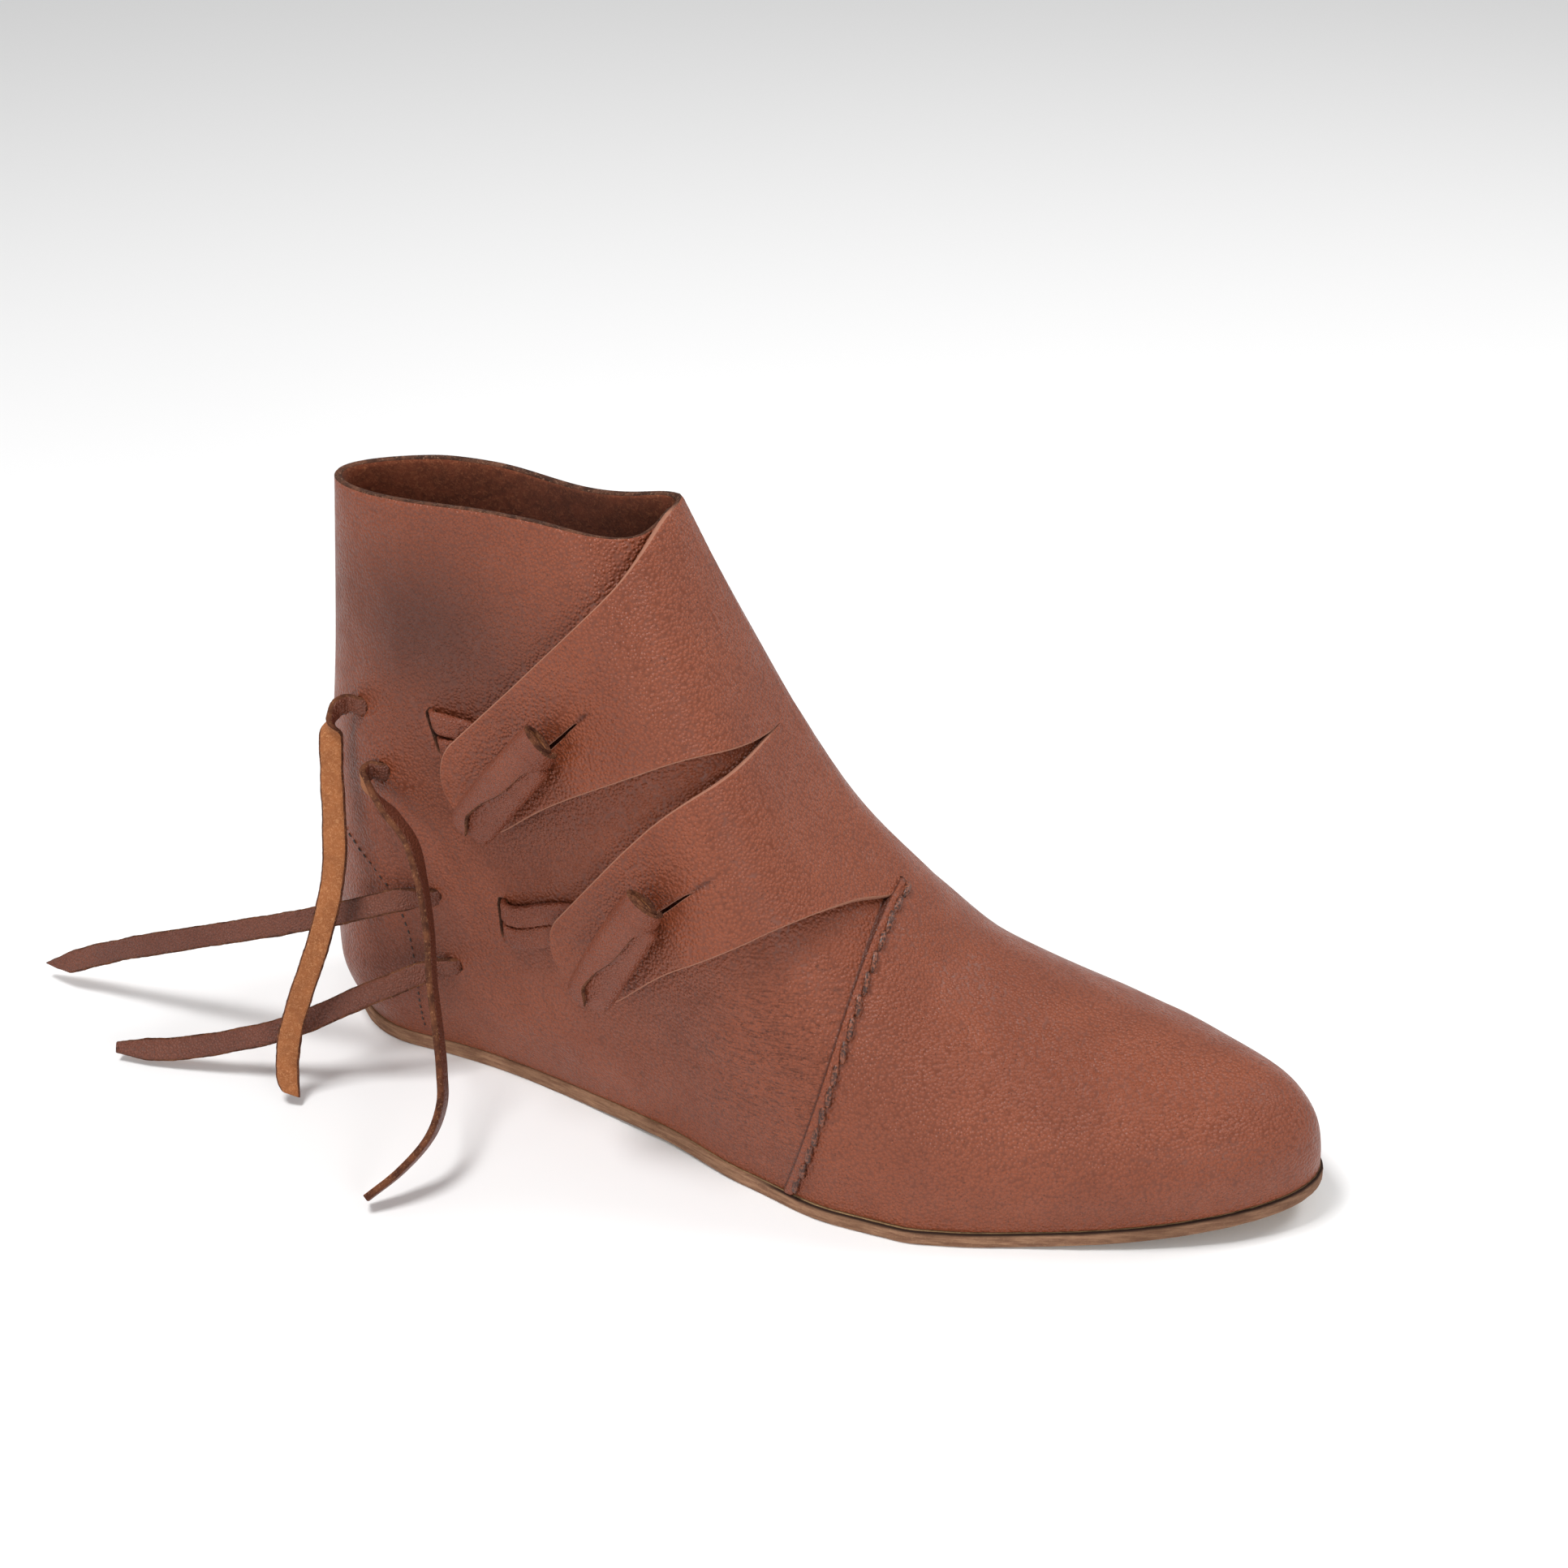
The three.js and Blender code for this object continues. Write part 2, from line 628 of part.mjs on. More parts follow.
const eyeLong = 2 * gatheredWidth + 3 * clearance + thongThickness;
const eyeWide = thongThickness + 5.5 * clearance;
const slotLong = 2 * thongWidth + 3 * clearance + slotWidth / 2;
function makeUpper() {
  const bodySheet = sheet(bodyRings, bodyColumns, placeAt);
  let body = solid(thickened(bodySheet, bodyOffset, (p) => bodyOffset(p) - leather));
  body = body.subtract(instepOpening());
  for (const toggle of toggles) {
    body = body.subtract(slotCutter(sidePlace(toggle.slot), slotLong, slotWidth, radians(toggle.slotLean)));
    for (const hole of toggle.holes) {
      body = body.subtract(slotCutter(sidePlace(hole), 2 * holeRadius, 2 * holeRadius, 0));
    }
  }
  const flapSheet = sheet(flapRings, flapColumns, placeAt);
  const flapInner = (p) => flapOffset(p) - leather + (p.side === medial ? rootOverlap : 0);
  const flapLayer = solid(thickened(flapSheet, flapOffset, flapInner));
  flaps.forEach((flap, i) => {
    const toggle = toggles[i];
    const centre = sidePlace(toggle.centre);
    const turn = radians(toggle.slitLean);
    const middle = {
      x: centre.x + (slitLength / 2) * Math.cos(turn),
      z: centre.z + (slitLength / 2) * Math.sin(turn),
    };
    let piece = flapLayer.intersect(sidePrism(flapOutline(flap)));
    piece = piece.subtract(slotCutter(middle, slitLength, slitWidth, turn));
    piece = piece.subtract(slotCutter(centre, eyeLong, eyeWide, Math.PI / 2));
    body = body.add(piece);
  });
  return body;
}

// Sole and insole: plates between two heights, their outline moved inward in plan.
const plateAcross = 3;
const soleSteps = 44;
const insoleSteps = 30;
function plate(plateSteps, inset, bottomAt, topAt) {
  const edge = (side, i) => {
    const a = (1 - Math.cos((Math.PI * i) / plateSteps)) / 2;
    const x = mix(soleHeelInset, shoeLength, a);
    return new THREE.Vector2(x, side * soleHalf(side, x));
  };
  const moved = (side, i) => {
    if (i === 0) return new THREE.Vector2(soleHeelInset + inset, 0);
    if (i === plateSteps) return new THREE.Vector2(shoeLength - inset, 0);
    const run = edge(side, i + 1).sub(edge(side, i - 1)).normalize();
    return edge(side, i).add(new THREE.Vector2(side * run.y, -side * run.x).multiplyScalar(inset));
  };
  const rings = [];
  for (let i = 0; i <= plateSteps; i++) {
    const [left, right] = [moved(lateral, i), moved(medial, i)];
    const ring = [];
    for (const [heightAt, order] of [[bottomAt, 0], [topAt, 1]]) {
      for (let j = 0; j <= plateAcross; j++) {
        const share = (order ? plateAcross - j : j) / plateAcross;
        const spot = left.clone().lerp(right, share);
        ring.push(new THREE.Vector3(spot.x, spot.y, heightAt(spot.x)));
      }
    }
    rings.push(ring);
  }
  return lofted(rings);
}

// Thongs

// A flat thong through rows of a point, a width direction and a width.
function thong(rows, steps) {
  const curve = new THREE.CatmullRomCurve3(rows.map((row) => row.point), false, "centripetal");
  const rings = [];
  for (let i = 0; i <= steps; i++) {
    const t = i / steps;
    const at = t * (rows.length - 1);
    const k = Math.min(Math.floor(at), rows.length - 2);
    const [a, b] = [rows[k], rows[k + 1]];
    const run = curve.getTangent(t);
    const wide = a.across.clone().lerp(b.across, at - k);
    wide.addScaledVector(run, -wide.dot(run)).normalize();
    const flat = wide.clone().cross(run);
    const middle = curve.getPoint(t);
    const halfWidth = mix(a.width, b.width, at - k) / 2;
    const halfThick = thongThickness / 2;
    const corner = halfThick / 2;
    const ring = [];
    for (const [u, v] of [[1, 1], [-1, 1], [-1, -1], [1, -1]]) {
      const soft = [[halfWidth, halfThick - corner], [halfWidth - corner, halfThick]];
      if (u * v < 0) soft.reverse();
      for (const [s, d] of soft) {
        ring.push(middle.clone().addScaledVector(wide, u * s).addScaledVector(flat, v * d));
      }
    }
    rings.push(ring);
  }
  return lofted(rings);
}

// A strand of a toggle: out of the roll, through the flap's eye, back over the quarter, in at the slot
// and along the inside to its hole. Each row has its way forward of a landmark, how far it stands off
// the face and its width.
const strandSteps = 28;
const overQuarter = thongThickness / 2 + 1.5 * clearance;
const insideWall = -(leather + 3 * clearance + thongThickness / 2);
const flapFace = leather + seat + flapRise + clearance;
const barrelOff = flapFace + seat + toggleRadius;
const holeWidth = 2 * holeRadius - 2 * clearance - thongThickness;
const strandMiddle = 0.55;
const insideMiddle = 0.5;
const strandRoute = [
  { from: "centre", ahead: 0, off: barrelOff, width: gatheredWidth },
  { from: "centre", ahead: 0, off: flapFace - leather / 2, width: gatheredWidth },
  { from: "centre", ahead: -0.3 * thongThickness, off: 2 * overQuarter, width: gatheredWidth },
  { from: "centre", ahead: -1.6 * thongThickness, off: overQuarter + clearance / 4, width: gatheredWidth },
  { from: "middle", ahead: 0, off: overQuarter, width: thongWidth },
  { from: "slot", ahead: 0.75 * slotWidth, off: overQuarter, width: thongWidth },
  { from: "slot", ahead: 0.46 * slotWidth, off: overQuarter - 0.1 * thongThickness, width: thongWidth },
  { from: "slot", ahead: 0, off: -0.65 * leather, width: thongWidth },
  { from: "slot", ahead: -0.42 * slotWidth, off: insideWall + 0.15 * thongThickness, width: thongWidth },
  { from: "slot", ahead: -0.8 * slotWidth, off: insideWall, width: thongWidth },
  { from: "inside", ahead: 0, off: insideWall, width: thongWidth },
  { from: "hole", ahead: holeRadius, off: insideWall, width: holeWidth },
  { from: "hole", ahead: 0.4 * holeRadius, off: insideWall + clearance, width: holeWidth },
  { from: "hole", ahead: clearance, off: -leather, width: holeWidth },
];
const between = (a, b, t) => ({ x: mix(a.x, b.x, t), z: mix(a.z, b.z, t) });
function faceRow(x, z, off, width, lean) {
  const { point, forward, upward } = onFace(x, z, off);
  const across = upward.multiplyScalar(Math.sin(lean)).addScaledVector(forward, Math.cos(lean));
  return { point, across, width };
}
function strandRows(toggle, number) {
  const hand = number === 0 ? 1 : -1;
  const gathered = (hand * (gatheredWidth + clearance)) / 2;
  const spread = (hand * (thongWidth + clearance)) / 2;
  const [centre, slot, hole] = [toggle.centre, toggle.slot, toggle.holes[number]].map(sidePlace);
  const straight = Math.PI / 2;
  const slotTurn = radians(toggle.slotLean);
  slot.x += spread / Math.tan(slotTurn);
  const landmarks = {
    centre: { ...centre, rise: gathered, lean: straight },
    middle: { ...between(centre, slot, strandMiddle), rise: spread, lean: straight },
    slot: { ...slot, rise: spread, lean: slotTurn },
    inside: { ...between(slot, hole, insideMiddle), rise: spread / 2, lean: straight },
    hole: { ...hole, rise: 0, lean: straight },
  };
  return strandRoute.map(({ from, ahead, off, width }) => {
    const { x, z, rise, lean } = landmarks[from];
    return faceRow(x + ahead, z + rise, off, width, lean);
  });
}

// The rolled barrel: a spiral section whose step swings along its length.
const rollSides = 18;
const rollRings = 8;
const rollStart = 0.9;
const rollSwing = 0.9;
const swingRate = 5;
const rollGap = 0.01;
function barrel(toggle) {
  const centre = sidePlace(toggle.centre);
  const { point, forward, normal } = onFace(centre.x, centre.z, barrelOff);
  const upward = normal.clone().cross(forward).negate();
  if (upward.z < 0) upward.negate();
  const turn = radians(toggle.lean);
  const axis = forward.clone().multiplyScalar(Math.cos(turn)).addScaledVector(upward, Math.sin(turn));
  const side = axis.clone().cross(normal).normalize();
  const rings = [];
  for (let i = 0; i <= rollRings; i++) {
    const t = i / rollRings;
    const swing = rollStart + rollSwing * Math.tanh(swingRate * (t - 0.5));
    const ring = [];
    for (let j = 0; j < rollSides; j++) {
      const share = j / (rollSides - 1);
      const angle = swing + 2 * Math.PI * share * (1 - rollGap);
      const radius = toggleRadius - rollStep * (1 - share);
      ring.push(
        point
          .clone()
          .addScaledVector(axis, (t - 0.5) * toggleLength)
          .addScaledVector(side, radius * Math.cos(angle))
          .addScaledVector(normal, radius * Math.sin(angle)),
      );
    }
    rings.push(ring);
  }
  return lofted(rings);
}

function makeToggle(toggle) {
  return [0, 1].reduce(
    (whole, number) => whole.add(thong(strandRows(toggle, number), strandSteps)),
    barrel(toggle),
  );
}

// The free tails of the strands. Each leaves its hole and then follows points chosen along its fall,
// the last one near the floor, with the direction of its width at each point.
const upright = new THREE.Vector3(0, 0, 1);
const outward = new THREE.Vector3(0, -1, 0);
const crosswise = new THREE.Vector3(0.924, 0.383, 0);
const leaning = new THREE.Vector3(-0.197, 0.474, 0.858);
const edgeways = new THREE.Vector3(-0.329, 0.793, -0.513);
const tailLeave = [
  { ahead: 0, off: clearance - leather, width: holeWidth },
  { ahead: -0.45 * thongThickness, off: 0, width: holeWidth },
  { ahead: -1.3 * thongThickness, off: 0.85 * thongThickness, width: holeWidth },
];
const tails = [
  {
    name: "upper_back",
    toggle: 0,
    hole: 0,
    steps: 19,
    tip: 4.2,
    route: [
      { x: 17.2, y: -23.4, z: 106, across: upright },
      { x: 15.8, y: -25.2, z: 103.4, across: outward },
      { x: 15.7, y: -26.6, z: 98.5, across: crosswise },
      { x: 16.2, y: -28.6, z: 92, across: crosswise },
      { x: 17.2, y: -31, z: 85, across: crosswise },
      { x: 19, y: -34.5, z: 77, across: crosswise },
      { x: 20.5, y: -38.7, z: 67, across: crosswise },
      { x: 20.1, y: -44, z: 55, across: crosswise },
      { x: 17.3, y: -49, z: 41.5, across: crosswise },
      { x: 13.5, y: -53.5, z: 27.5, across: crosswise },
      { x: 11.3, y: -57, z: 15.5, across: crosswise },
      { x: 11.9, y: -59.6, z: 8, across: crosswise },
      { x: 14.2, y: -62, z: 2.2, across: crosswise },
    ],
  },
  {
    name: "upper_front",
    toggle: 0,
    hole: 1,
    steps: 19,
    tip: 4.2,
    route: [
      { x: 26.4, y: -29.4, z: 89.4, across: upright },
      { x: 29.8, y: -31.6, z: 87, across: outward },
      { x: 36, y: -34, z: 83.5, across: edgeways },
      { x: 43.5, y: -37, z: 78, across: edgeways },
      { x: 49, y: -42, z: 68.5, across: edgeways },
      { x: 53, y: -47, z: 57, across: edgeways },
      { x: 55.6, y: -52, z: 45.5, across: edgeways },
      { x: 59.5, y: -57.5, z: 34.8, across: edgeways },
      { x: 63.5, y: -63.8, z: 26.8, across: edgeways },
      { x: 66.4, y: -70, z: 21, across: edgeways },
      { x: 66.5, y: -77.8, z: 15.6, across: edgeways },
      { x: 62, y: -86, z: 9.4, across: edgeways },
      { x: 55.4, y: -93.2, z: 3.8, across: edgeways },
    ],
  },
  {
    name: "lower_back",
    toggle: 1,
    hole: 0,
    steps: 16,
    tip: 3.2,
    route: [
      { x: 35.8, y: -33.2, z: 55, across: leaning },
      { x: 28, y: -34.8, z: 52.2, across: leaning },
      { x: 18.6, y: -35.7, z: 48.1, across: leaning },
      { x: 7, y: -36.3, z: 43.4, across: leaning },
      { x: -5, y: -36.6, z: 38.5, across: leaning },
      { x: -17.5, y: -36.7, z: 33.5, across: leaning },
      { x: -30, y: -36.7, z: 28.5, across: leaning },
      { x: -43, y: -36.7, z: 23.3, across: leaning },
      { x: -56, y: -36.6, z: 17.8, across: leaning },
      { x: -66, y: -36.4, z: 13, across: leaning },
      { x: -75.5, y: -36.2, z: 8.2, across: leaning },
      { x: -84.4, y: -36, z: 3.9, across: leaning },
    ],
  },
  {
    name: "lower_front",
    toggle: 1,
    hole: 1,
    steps: 15,
    tip: 3.2,
    route: [
      { x: 42, y: -35.4, z: 34, across: leaning },
      { x: 36.5, y: -39, z: 31.8, across: leaning },
      { x: 30.3, y: -42, z: 28.9, across: leaning },
      { x: 24, y: -44.6, z: 25.6, across: leaning },
      { x: 17.5, y: -47.1, z: 21.9, across: leaning },
      { x: 11, y: -49.4, z: 18.4, across: leaning },
      { x: 3, y: -51.7, z: 14.9, across: leaning },
      { x: -5.3, y: -53.9, z: 11.8, across: leaning },
      { x: -15, y: -56.2, z: 8.7, across: leaning },
      { x: -24.6, y: -58.2, z: 6.1, across: leaning },
      { x: -34, y: -60, z: 4.5, across: leaning },
      { x: -42.8, y: -61.5, z: 3.9, across: leaning },
    ],
  },
];
function tailRows({ toggle, hole, tip, route }) {
  const { x, z } = sidePlace(toggles[toggle].holes[hole]);
  const straight = Math.PI / 2;
  const leave = tailLeave.map(({ ahead, off, width }) => faceRow(x + ahead, z, off, width, straight));
  const free = route.map((row, i) => ({
    point: new THREE.Vector3(row.x, row.y, row.z),
    across: row.across,
    width: i === route.length - 1 ? tip : thongWidth,
  }));
  return [...leave, ...free];
}

const shoe = new THREE.Group();
shoe.position.set(-heelRestCentre, 0, 0);
const upperLeather = new THREE.MeshStandardMaterial({ color: 0x8b4329, roughness: 0.5, metalness: 0 });
const soleLeather = new THREE.MeshStandardMaterial({ color: 0x8a6a45, roughness: 0.75, metalness: 0 });
const liningLeather = new THREE.MeshStandardMaterial({ color: 0x6d4630, roughness: 0.9, metalness: 0 });
const thongLeather = new THREE.MeshStandardMaterial({ color: 0x7e3d26, roughness: 0.55, metalness: 0 });

shoe.add(meshOf(makeUpper(), "upper", upperLeather));
shoe.add(meshOf(plate(soleSteps, 0, soleBottom, (x) => feather(x) - seat), "sole", soleLeather));
const insoleInset = soleProud + leather + 4 * seat;
const insoleTop = (x) => feather(x) + insoleThickness;
shoe.add(meshOf(plate(insoleSteps, insoleInset, feather, insoleTop), "insole", liningLeather));
for (const toggle of toggles) {
  shoe.add(meshOf(makeToggle(toggle), "toggle_" + toggle.name, thongLeather));
}
for (const tail of tails) {
  shoe.add(meshOf(thong(tailRows(tail), tail.steps), "tail_" + tail.name, thongLeather));
}

export default shoe;
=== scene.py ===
# The looks of a right-foot turned ankle shoe: wrapped russet leather with two instep flaps, two rolled
# toggles with four free thong tails, a side seam, a heel stiffener's stitches and a cut leather sole.
# Lengths in the tables are millimetres in the last's own frame: heel at x = 0, toe towards +x, outer
# side towards -y, floor at z = 0. place() takes them to the frame in metres.
import math

import bpy
import numpy as np
from mathutils import Matrix, Vector
from mathutils.kdtree import KDTree


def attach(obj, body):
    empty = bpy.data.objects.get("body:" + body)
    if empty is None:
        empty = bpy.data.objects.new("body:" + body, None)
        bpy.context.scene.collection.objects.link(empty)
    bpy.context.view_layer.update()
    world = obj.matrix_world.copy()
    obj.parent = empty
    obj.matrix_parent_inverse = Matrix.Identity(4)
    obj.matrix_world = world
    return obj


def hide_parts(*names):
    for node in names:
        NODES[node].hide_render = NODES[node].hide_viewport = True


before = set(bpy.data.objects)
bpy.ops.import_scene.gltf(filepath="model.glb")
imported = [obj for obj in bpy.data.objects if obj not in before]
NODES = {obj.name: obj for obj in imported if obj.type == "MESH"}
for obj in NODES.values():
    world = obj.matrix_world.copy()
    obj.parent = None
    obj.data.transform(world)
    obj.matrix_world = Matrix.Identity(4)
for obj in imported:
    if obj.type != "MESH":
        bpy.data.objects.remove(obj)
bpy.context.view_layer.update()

# Sizes of the last, as the solids have them
MM = 0.001
SHOE_LENGTH = 285.0
BALL_WIDTH = 97.0
HEEL_WIDTH = 58.0
COLLAR_HEIGHT = 164.0
COLLAR_FRONT_RISE = 10.0
COLLAR_FRONT_REACH = 110.0
THROAT_REACH = 171.0
THROAT_HEIGHT = 73.5
LEATHER = 2.0
SEAT = 0.35
SOLE_THICKNESS = 4.6
SOLE_HEEL_INSET = 4.0
SOLE_PROUD = 1.0
TOE_SPRING = 8.0
ARCH_LIFT = 1.0
HEEL_REST_CENTRE = 38.0

# Seam, flap and toggle sizes
SEAM_WIDTH = 3.2
SEAM_RAISE = 0.8
FLAP_END_RADIUS = 13.0
SLIT_LENGTH = 30.0
TOGGLE_LENGTH = 38.0
TOGGLE_RADIUS = 5.8
THONG_WIDTH = 6.4
THONG_THICKNESS = 2.0
GATHERED_WIDTH = 3.4
CLEARANCE = 0.4

LATERAL, MEDIAL = -1, 1
HAND = {LATERAL: "lateral", MEDIAL: "medial"}


def place(points):
    """Points of the last's frame, in millimetres, as points of the shoe's frame in metres."""
    return (np.asarray(points, float) - [HEEL_REST_CENTRE, 0.0, 0.0]) * MM


# Camera, as it stood to the photographed shoe
CAMERA_PLACE = Vector((0.3313, -0.5636, 0.4599))
CAMERA_TARGET = Vector((0.09725, 0.0, 0.09525))
CAMERA_ROLL = math.radians(-0.431)
CAMERA_LENS = 62.65
camera_data = bpy.data.cameras.new("camera")
camera_data.lens = CAMERA_LENS
camera_data.sensor_width = 36.0
camera_data.sensor_fit = "HORIZONTAL"
camera_data.clip_start = 0.01
camera = bpy.data.objects.new("camera", camera_data)
facing = (CAMERA_TARGET - CAMERA_PLACE).to_track_quat("-Z", "Y").to_matrix().to_4x4()
camera.matrix_world = Matrix.Translation(CAMERA_PLACE) @ facing @ Matrix.Rotation(CAMERA_ROLL, 4, "Z")
bpy.context.scene.collection.objects.link(camera)
bpy.context.scene.camera = camera


# Tables and blends

def table(columns, *rows):
    """A short table by column name."""
    return {name: np.array([row[i] for row in rows], float) for i, name in enumerate(columns.split())}


def along(rows, key, column, at):
    """A value between the rows of a table, along one column and for another, without overshoot."""
    xs, ys = rows[key], rows[column]
    at = np.clip(np.asarray(at, float), xs[0], xs[-1])
    slope = np.diff(ys) / np.diff(xs)
    tangent = np.empty(len(xs))
    tangent[0], tangent[-1] = slope[0], slope[-1]
    before, after = slope[:-1], slope[1:]
    total = np.where(before + after == 0, 1, before + after)
    tangent[1:-1] = np.where(before * after > 0, 2 * before * after / total, 0)
    i = np.clip(np.searchsorted(xs, at, side="right") - 1, 0, len(xs) - 2)
    width = xs[i + 1] - xs[i]
    t = (at - xs[i]) / width
    rise = ys[i + 1] - ys[i]
    a, b = tangent[i] * width, tangent[i + 1] * width
    return ys[i] + t * a + t**2 * (3 * rise - 2 * a - b) + t**3 * (a + b - 2 * rise)


def smooth(t):
    t = np.clip(t, 0, 1)
    return t * t * (3 - 2 * t)


def mix(a, b, t):
    return a + (b - a) * t


def bell(distance, width):
    """One at the centre of a trough or ridge, fading to nothing over its width."""
    return np.exp(-((distance / width) ** 2))


def round_end(t):
    return np.sqrt(np.clip(1 - (1 - np.clip(t, 0, 1)) ** 2, 0, 1))


def unit(vectors):
    return vectors / np.maximum(np.linalg.norm(vectors, axis=-1, keepdims=True), 1e-9)


def run_along(points, power=1.0):
    """The way from the first of some points to each of them, its steps raised to a power."""
    return np.concatenate([[0], np.cumsum(np.linalg.norm(np.diff(points, axis=0), axis=1) ** power)])


def evenly(at, run, values):
    """The columns of a line's values at given ways along it."""
    return np.stack([np.interp(at, run, column) for column in values.T], 1)


# The last

OUTLINE = table(
    "at sole_lateral sole_medial body_lateral body_medial",
    (0.00, 0.418, 0.418, 0.493, 0.493),
    (0.14, 0.438, 0.438, 0.505, 0.505),
    (0.29, 0.425, 0.358, 0.470, 0.434),
    (0.40, 0.434, 0.314, 0.445, 0.389),
    (0.50, 0.495, 0.350, 0.496, 0.405),
    (0.60, 0.558, 0.430, 0.552, 0.450),
    (0.66, 0.556, 0.460, 0.550, 0.472),
    (0.70, 0.530, 0.472, 0.527, 0.482),
    (0.77, 0.458, 0.460, 0.464, 0.472),
    (0.83, 0.397, 0.404, 0.406, 0.425),
    (0.90, 0.346, 0.318, 0.358, 0.350),
    (1.00, 0.290, 0.250, 0.310, 0.290),
)
HEEL_END, WAIST_END = 0.14, 0.5
HEEL_ROUND_LOW = 0.095 * SHOE_LENGTH
HEEL_ROUND_HIGH = 0.16 * SHOE_LENGTH
TOE_ROUND = {"sole": 0.2 * SHOE_LENGTH, "body": 0.165 * SHOE_LENGTH}


def plan_half(kind, side, x, start, end, heel_round):
    at = x / SHOE_LENGTH
    width = mix(HEEL_WIDTH, BALL_WIDTH, smooth((at - HEEL_END) / (WAIST_END - HEEL_END)))
    share = along(OUTLINE, "at", f"{kind}_{HAND[side]}", at)
    return share * width * round_end((x - start) / heel_round) * round_end((end - x) / TOE_ROUND[kind])


def sole_half(side, x):
    return plan_half("sole", side, x, SOLE_HEEL_INSET, SHOE_LENGTH, HEEL_ROUND_LOW)


HEEL_FLAT_END = 0.26 * SHOE_LENGTH
BALL_FLAT_START = 0.53 * SHOE_LENGTH
BALL_FLAT_END = 0.71 * SHOE_LENGTH
SPRING_POWER = 1.8


def sole_bottom(x):
    x = np.asarray(x, float)
    arch = np.clip((x - HEEL_FLAT_END) / (BALL_FLAT_START - HEEL_FLAT_END), 0, 1)
    spring = np.clip((x - BALL_FLAT_END) / (SHOE_LENGTH - BALL_FLAT_END), 0, 1)
    return ARCH_LIFT * np.sin(math.pi * arch) ** 2 + TOE_SPRING * spring**SPRING_POWER


def feather(x):
    return sole_bottom(x) + SOLE_THICKNESS


TOE_REACH = SHOE_LENGTH - SOLE_PROUD
BACK_LINE = table(
    "height inset",
    (0.03, 0.014),
    (0.07, 0.003),
    (0.13, 0.000),
    (0.34, 0.004),
    (0.52, 0.009),
    (0.72, 0.020),
    (1.00, 0.032),
)
VAMP_RIDGE = table(
    "root rise",
    (0.000, 0.000),
    (0.135, 0.220),
    (0.250, 0.330),
    (0.350, 0.400),
    (0.555, 0.480),
    (0.695, 0.535),
    (0.810, 0.615),
    (0.913, 0.740),
    (1.000, 1.000),
)
INSTEP_RIDGE = table(
    "reach rise",
    (-1.00, 2.150),
    (0.00, 1.000),
    (0.22, 0.720),
    (0.44, 0.455),
    (0.70, 0.200),
    (1.00, 0.000),
)
COLLAR_FRONT_HEIGHT = COLLAR_HEIGHT + COLLAR_FRONT_RISE


def back_x(z):
    return along(BACK_LINE, "height", "inset", z / COLLAR_HEIGHT) * SHOE_LENGTH


def ridge_height(x):
    x = np.asarray(x, float)
    root = np.sqrt(np.clip((TOE_REACH - x) / (TOE_REACH - THROAT_REACH), 0, 1))
    vamp = mix(float(feather(TOE_REACH)), THROAT_HEIGHT, along(VAMP_RIDGE, "root", "rise", root))
    reach = (x - COLLAR_FRONT_REACH) / (THROAT_REACH - COLLAR_FRONT_REACH)
    instep = mix(THROAT_HEIGHT, COLLAR_FRONT_HEIGHT, along(INSTEP_RIDGE, "reach", "rise", reach))
    return np.where(x >= THROAT_REACH, vamp, instep)


SHAFT = table(
    "height lateral_back lateral_front medial_back medial_front",
    (0.14, 1.00, 1.00, 1.00, 1.00),
    (0.40, 0.96, 1.00, 0.96, 0.93),
    (0.70, 0.84, 0.93, 0.84, 0.68),
    (1.05, 0.62, 0.78, 0.64, 0.20),
)
SHAFT_BACK = 0.18 * SHOE_LENGTH
SHAFT_FRONT = 0.36 * SHOE_LENGTH
BULGE_HEIGHT = 0.136 * COLLAR_HEIGHT
VAMP_POWER = {LATERAL: 2.3, MEDIAL: 1.75}
INSTEP_POWER = {LATERAL: 6.0, MEDIAL: 1.5}
SEAT_SHARE = 1 - SOLE_PROUD / (BALL_WIDTH / 2)


def body_half(side, x, z):
    """Half width of the outer face of the upper at a place in the side view."""
    x, z = np.asarray(x, float), np.asarray(z, float)
    ground = feather(x)
    belly = np.sin(np.clip((z - ground) / BULGE_HEIGHT, 0, 1) * math.pi / 2)
    back = back_x(z)
    heel_round = mix(HEEL_ROUND_LOW, HEEL_ROUND_HIGH, smooth(z / COLLAR_HEIGHT))
    low_back = mix(SOLE_HEEL_INSET + SOLE_PROUD, back, belly)
    low = plan_half("sole", side, x, low_back, TOE_REACH, heel_round) * SEAT_SHARE
    wide = plan_half("body", side, x, back, TOE_REACH, heel_round)
    height = z / COLLAR_HEIGHT
    behind = along(SHAFT, "height", HAND[side] + "_back", height)
    ahead = along(SHAFT, "height", HAND[side] + "_front", height)
    slim = mix(behind, ahead, smooth((x - SHAFT_BACK) / (SHAFT_FRONT - SHAFT_BACK)))
    lift = np.clip((z - ground) / np.maximum(ridge_height(x) - ground, SEAT), 0, 1)
    on_instep = smooth((THROAT_REACH - x) / (THROAT_REACH - COLLAR_FRONT_REACH))
    power = mix(VAMP_POWER[side], INSTEP_POWER[side], on_instep)
    return mix(low, wide, belly) * slim * np.sqrt(1 - lift**power)


RIDGE_STEPS = 1200
ridge_t = np.linspace(0, 1, RIDGE_STEPS + 1)
ridge_x = mix(TOE_REACH, COLLAR_FRONT_REACH, ridge_t**2)
ridge_z = ridge_height(ridge_x)
ridge_run = run_along(np.stack([ridge_x, ridge_z], 1))
THROAT_SHARE = ridge_run[np.argmax(ridge_x <= THROAT_REACH)] / ridge_run[-1]


def ridge_point(share):
    run = np.clip(share, 0, 1) * ridge_run[-1]
    return np.interp(run, ridge_run, ridge_x), np.interp(run, ridge_run, ridge_z)


